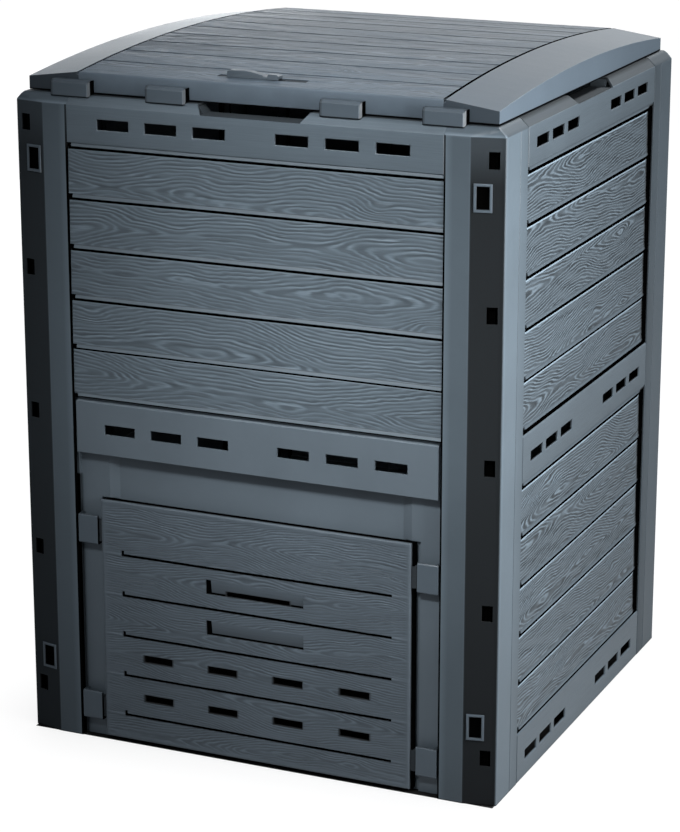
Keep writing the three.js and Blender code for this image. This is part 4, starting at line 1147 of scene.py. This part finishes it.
class BIN_OT_walls(bpy.types.Operator):
    """Make the seven boarded walls with grain, grooves, vents and tongues"""

    bl_idname = "bin.walls"
    bl_label = "Walls"

    def execute(self, context):
        for node, (side, wall, tier, seed) in WALLS.items():
            back_way = -1 if side == "left" else 1
            parts = wall_parts(wall, tier, seed, context.scene.bin_sizes, back_way)
            make_piece("grained_" + node, parts, bin_material("wall"), "bin", [node], side)
        return {"FINISHED"}


class BIN_OT_hatch(bpy.types.Operator):
    """Make the hatch door with its boards, grips, vents and hooks"""

    bl_idname = "bin.hatch"
    bl_label = "Hatch"

    def execute(self, context):
        parts = door_parts(context.scene.bin_sizes, 41)
        make_piece("grained_door", parts, bin_material("door"), "hatch", ["hatch_door"],
                   "front")
        return {"FINISHED"}


class BIN_OT_lid(bpy.types.Operator):
    """Make the arched lid panel of ten boards"""

    bl_idname = "bin.lid"
    bl_label = "Lid panel"

    def execute(self, context):
        parts = lid_parts(context.scene.bin_sizes, 53)
        make_piece("grained_lid", parts, bin_material("lid"), "lid", ["lid_panel"])
        return {"FINISHED"}


class BIN_OT_posts(bpy.types.Operator):
    """Make the four hollow corner posts with their holes and caps, and their lock plugs"""

    bl_idname = "bin.posts"
    bl_label = "Corner posts"

    def execute(self, context):
        for y_name, sign_y in (("front", -1), ("back", 1)):
            for x_name, sign_x in (("left", -1), ("right", 1)):
                node = "post_" + y_name + "_" + x_name
                make_piece("corner_" + node, post_parts(sign_x, sign_y), bin_material("post"),
                           "bin", [node])
                for level, middle in PLUG_LEVELS.items():
                    plug = "lock_plug_" + y_name + "_" + x_name + "_" + level
                    make_piece("rim_" + plug, plug_parts(sign_x, sign_y, middle),
                               bin_material("plug"), "bin", [plug])
        return {"FINISHED"}


class BIN_OT_plain(bpy.types.Operator):
    """Finish the plain moulded pieces: hatch frame, rails, clips, keepers, catch and hinges"""

    bl_idname = "bin.plain"
    bl_label = "Plain pieces"

    def execute(self, context):
        kinds = {"hatch_frame": "frame", "lid_rail": "rail", "lid_clip": "clip",
                 "hatch_keeper": "keeper"}
        width = context.scene.bin_sizes.edge_round
        for node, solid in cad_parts.items():
            if not solid.hide_render:
                kind = next((kinds[word] for word in kinds if node.startswith(word)), "fitting")
                share = 1.0 if kind in ("frame", "rail") else 0.6
                dress_node(solid, bin_material(kind), width * share)
        return {"FINISHED"}


def aim(item, place, way):
    """Puts a lamp or a camera at a place, facing a way."""
    bpy.context.scene.collection.objects.link(item)
    item.location = place
    item.rotation_mode = "QUATERNION"
    item.rotation_quaternion = way.to_track_quat("-Z", "Y")


def lamp(name, place, target, power, size=None, cone=None):
    """Soft lamp aimed at a target: a square one of a size, or a spot with a cone in degrees."""
    light = bpy.data.lights.new(name, "AREA" if size else "SPOT")
    light.energy = power
    light.color = (0.95, 0.98, 1.0)
    if size:
        light.shape = "SQUARE"
        light.size = size
    else:
        light.spot_size = math.radians(cone)
        light.spot_blend = 1.0
        light.shadow_soft_size = 0.35
    holder = bpy.data.objects.new(name, light)
    holder.visible_camera = False
    aim(holder, place, Vector(target) - Vector(place))


def floor_material():
    """White floor for the camera, with a painted shadow close to the bin, and painted black under
    it.

    The share of white is 0.55 + 0.25 times the open sky within 150 mm, and 0 under the bin.
    """
    material = bpy.data.materials.new("floor")
    shader = Shader(material)
    place = shader.wire(shader.node("ShaderNodeTexCoord"), "Object")
    away_x, away_y = (size_of(axis) for axis in shader.axes(place)[:2])
    outside = away_x.math("MAXIMUM", away_y).math("GREATER_THAN", 0.358)
    # Under the bin the floor is painted near black as shade
    grey = outside * 0.38 + 0.02
    ground = shader.node("ShaderNodeCombineColor", Red=grey, Green=grey, Blue=grey)
    diffuse = shader.node("ShaderNodeBsdfDiffuse", Color=shader.wire(ground))
    glow = shader.node("ShaderNodeEmission", Color=(1, 1, 1, 1), Strength=1.25)
    path = shader.node("ShaderNodeLightPath")
    # The open sky dims the white near the bin as a painted contact shadow
    open_sky = shader.wire(shader.node("ShaderNodeAmbientOcclusion", Distance=0.15), "AO")
    share = shader.wire(path, "Is Camera Ray") * outside * (open_sky * 0.25 + 0.55)
    surface = shader.mix(share, shader.wire(diffuse), shader.wire(glow))
    shader.node("ShaderNodeOutputMaterial", Surface=surface)
    return material


class BIN_OT_stage(bpy.types.Operator):
    """Set up the pale floor, the soft lamps, the world and the camera of the photograph"""

    bl_idname = "bin.stage"
    bl_label = "Stage"

    def execute(self, context):
        corners = [(x, y, -0.0005) for x, y in ((-40, -40), (40, -40), (40, 40), (-40, 40))]
        floor_mesh = bpy.data.meshes.new("floor")
        floor_mesh.from_pydata(corners, [], [(0, 1, 2, 3)])
        floor_mesh.materials.append(floor_material())
        floor = bpy.data.objects.new("floor", floor_mesh)
        context.scene.collection.objects.link(floor)

        # World: white for the camera, a soft light for the bin
        context.scene.world = bpy.data.worlds.new("studio")
        shader = Shader(context.scene.world)
        path = shader.node("ShaderNodeLightPath")
        soft = shader.node("ShaderNodeBackground", Color=(0.86, 0.92, 1.0, 1), Strength=0.23)
        white = shader.node("ShaderNodeBackground", Color=(1, 1, 1, 1), Strength=1.0)
        camera_ray = shader.wire(path, "Is Camera Ray")
        surface = shader.mix(camera_ray, shader.wire(soft), shader.wire(white))
        shader.node("ShaderNodeOutputWorld", Surface=surface)

        lamp("key", (3.4, 0.4, 1.5), (0, 0, 0.55), 12, size=1.4)
        lamp("side", (1.15, -0.55, 0.85), (0.36, -0.3, 0.62), 14, size=0.5)
        lamp("front", (0.2, -2.4, 2.8), (0.12, -0.36, 0.64), 800, cone=15)
        lamp("rim", (0.8, 2.3, 3.0), (0.2, 0, 0.7), 74, size=0.7)
        lamp("back", (-1.2, 3.6, 1.9), (0, 0, 0.95), 16, size=2.0)
        lamp("fill", (-2.4, 3.0, 0.8), (-0.2, 0.2, 0.5), 34, size=1.6)

        lens = bpy.data.cameras.new("camera")
        lens.sensor_width = 36.0
        lens.lens = CAMERA_LENS * lens.sensor_width
        lens.clip_end = 200
        turn, tilt = math.radians(CAMERA_TURN), math.radians(CAMERA_TILT)
        way = (-math.sin(turn) * math.cos(tilt), math.cos(turn) * math.cos(tilt), -math.sin(tilt))
        camera = bpy.data.objects.new("camera", lens)
        aim(camera, CAMERA_PLACE, Vector(way))
        context.scene.camera = camera

        context.scene.view_settings.view_transform = "Standard"
        return {"FINISHED"}


class BIN_PT_panel(bpy.types.Panel):
    """Lists the bin's sizes and the steps that make its pieces"""

    bl_idname = "BIN_PT_panel"
    bl_label = "Compost bin"
    bl_space_type = "VIEW_3D"
    bl_region_type = "UI"
    bl_category = "Bin"

    def draw(self, context):
        column = self.layout.column()
        for name in BinSizes.__annotations__:
            column.prop(context.scene.bin_sizes, name)
        for step in STEPS:
            column.operator(step.bl_idname)


STEPS = (BIN_OT_walls, BIN_OT_hatch, BIN_OT_lid, BIN_OT_posts, BIN_OT_plain, BIN_OT_stage)


def register():
    """Registers the classes and the settings."""
    for item in (BinSizes, *STEPS, BIN_PT_panel):
        bpy.utils.register_class(item)
    bpy.types.Scene.bin_sizes = bpy.props.PointerProperty(type=BinSizes)


def unregister():
    """Takes the settings and the classes away again."""
    del bpy.types.Scene.bin_sizes
    for item in (BIN_PT_panel, *reversed(STEPS), BinSizes):
        bpy.utils.unregister_class(item)


def main():
    """Makes every piece and the stage."""
    register()
    bpy.ops.bin.walls()
    bpy.ops.bin.hatch()
    bpy.ops.bin.lid()
    bpy.ops.bin.posts()
    bpy.ops.bin.plain()
    bpy.ops.bin.stage()


if __name__ == "__main__":
    main()
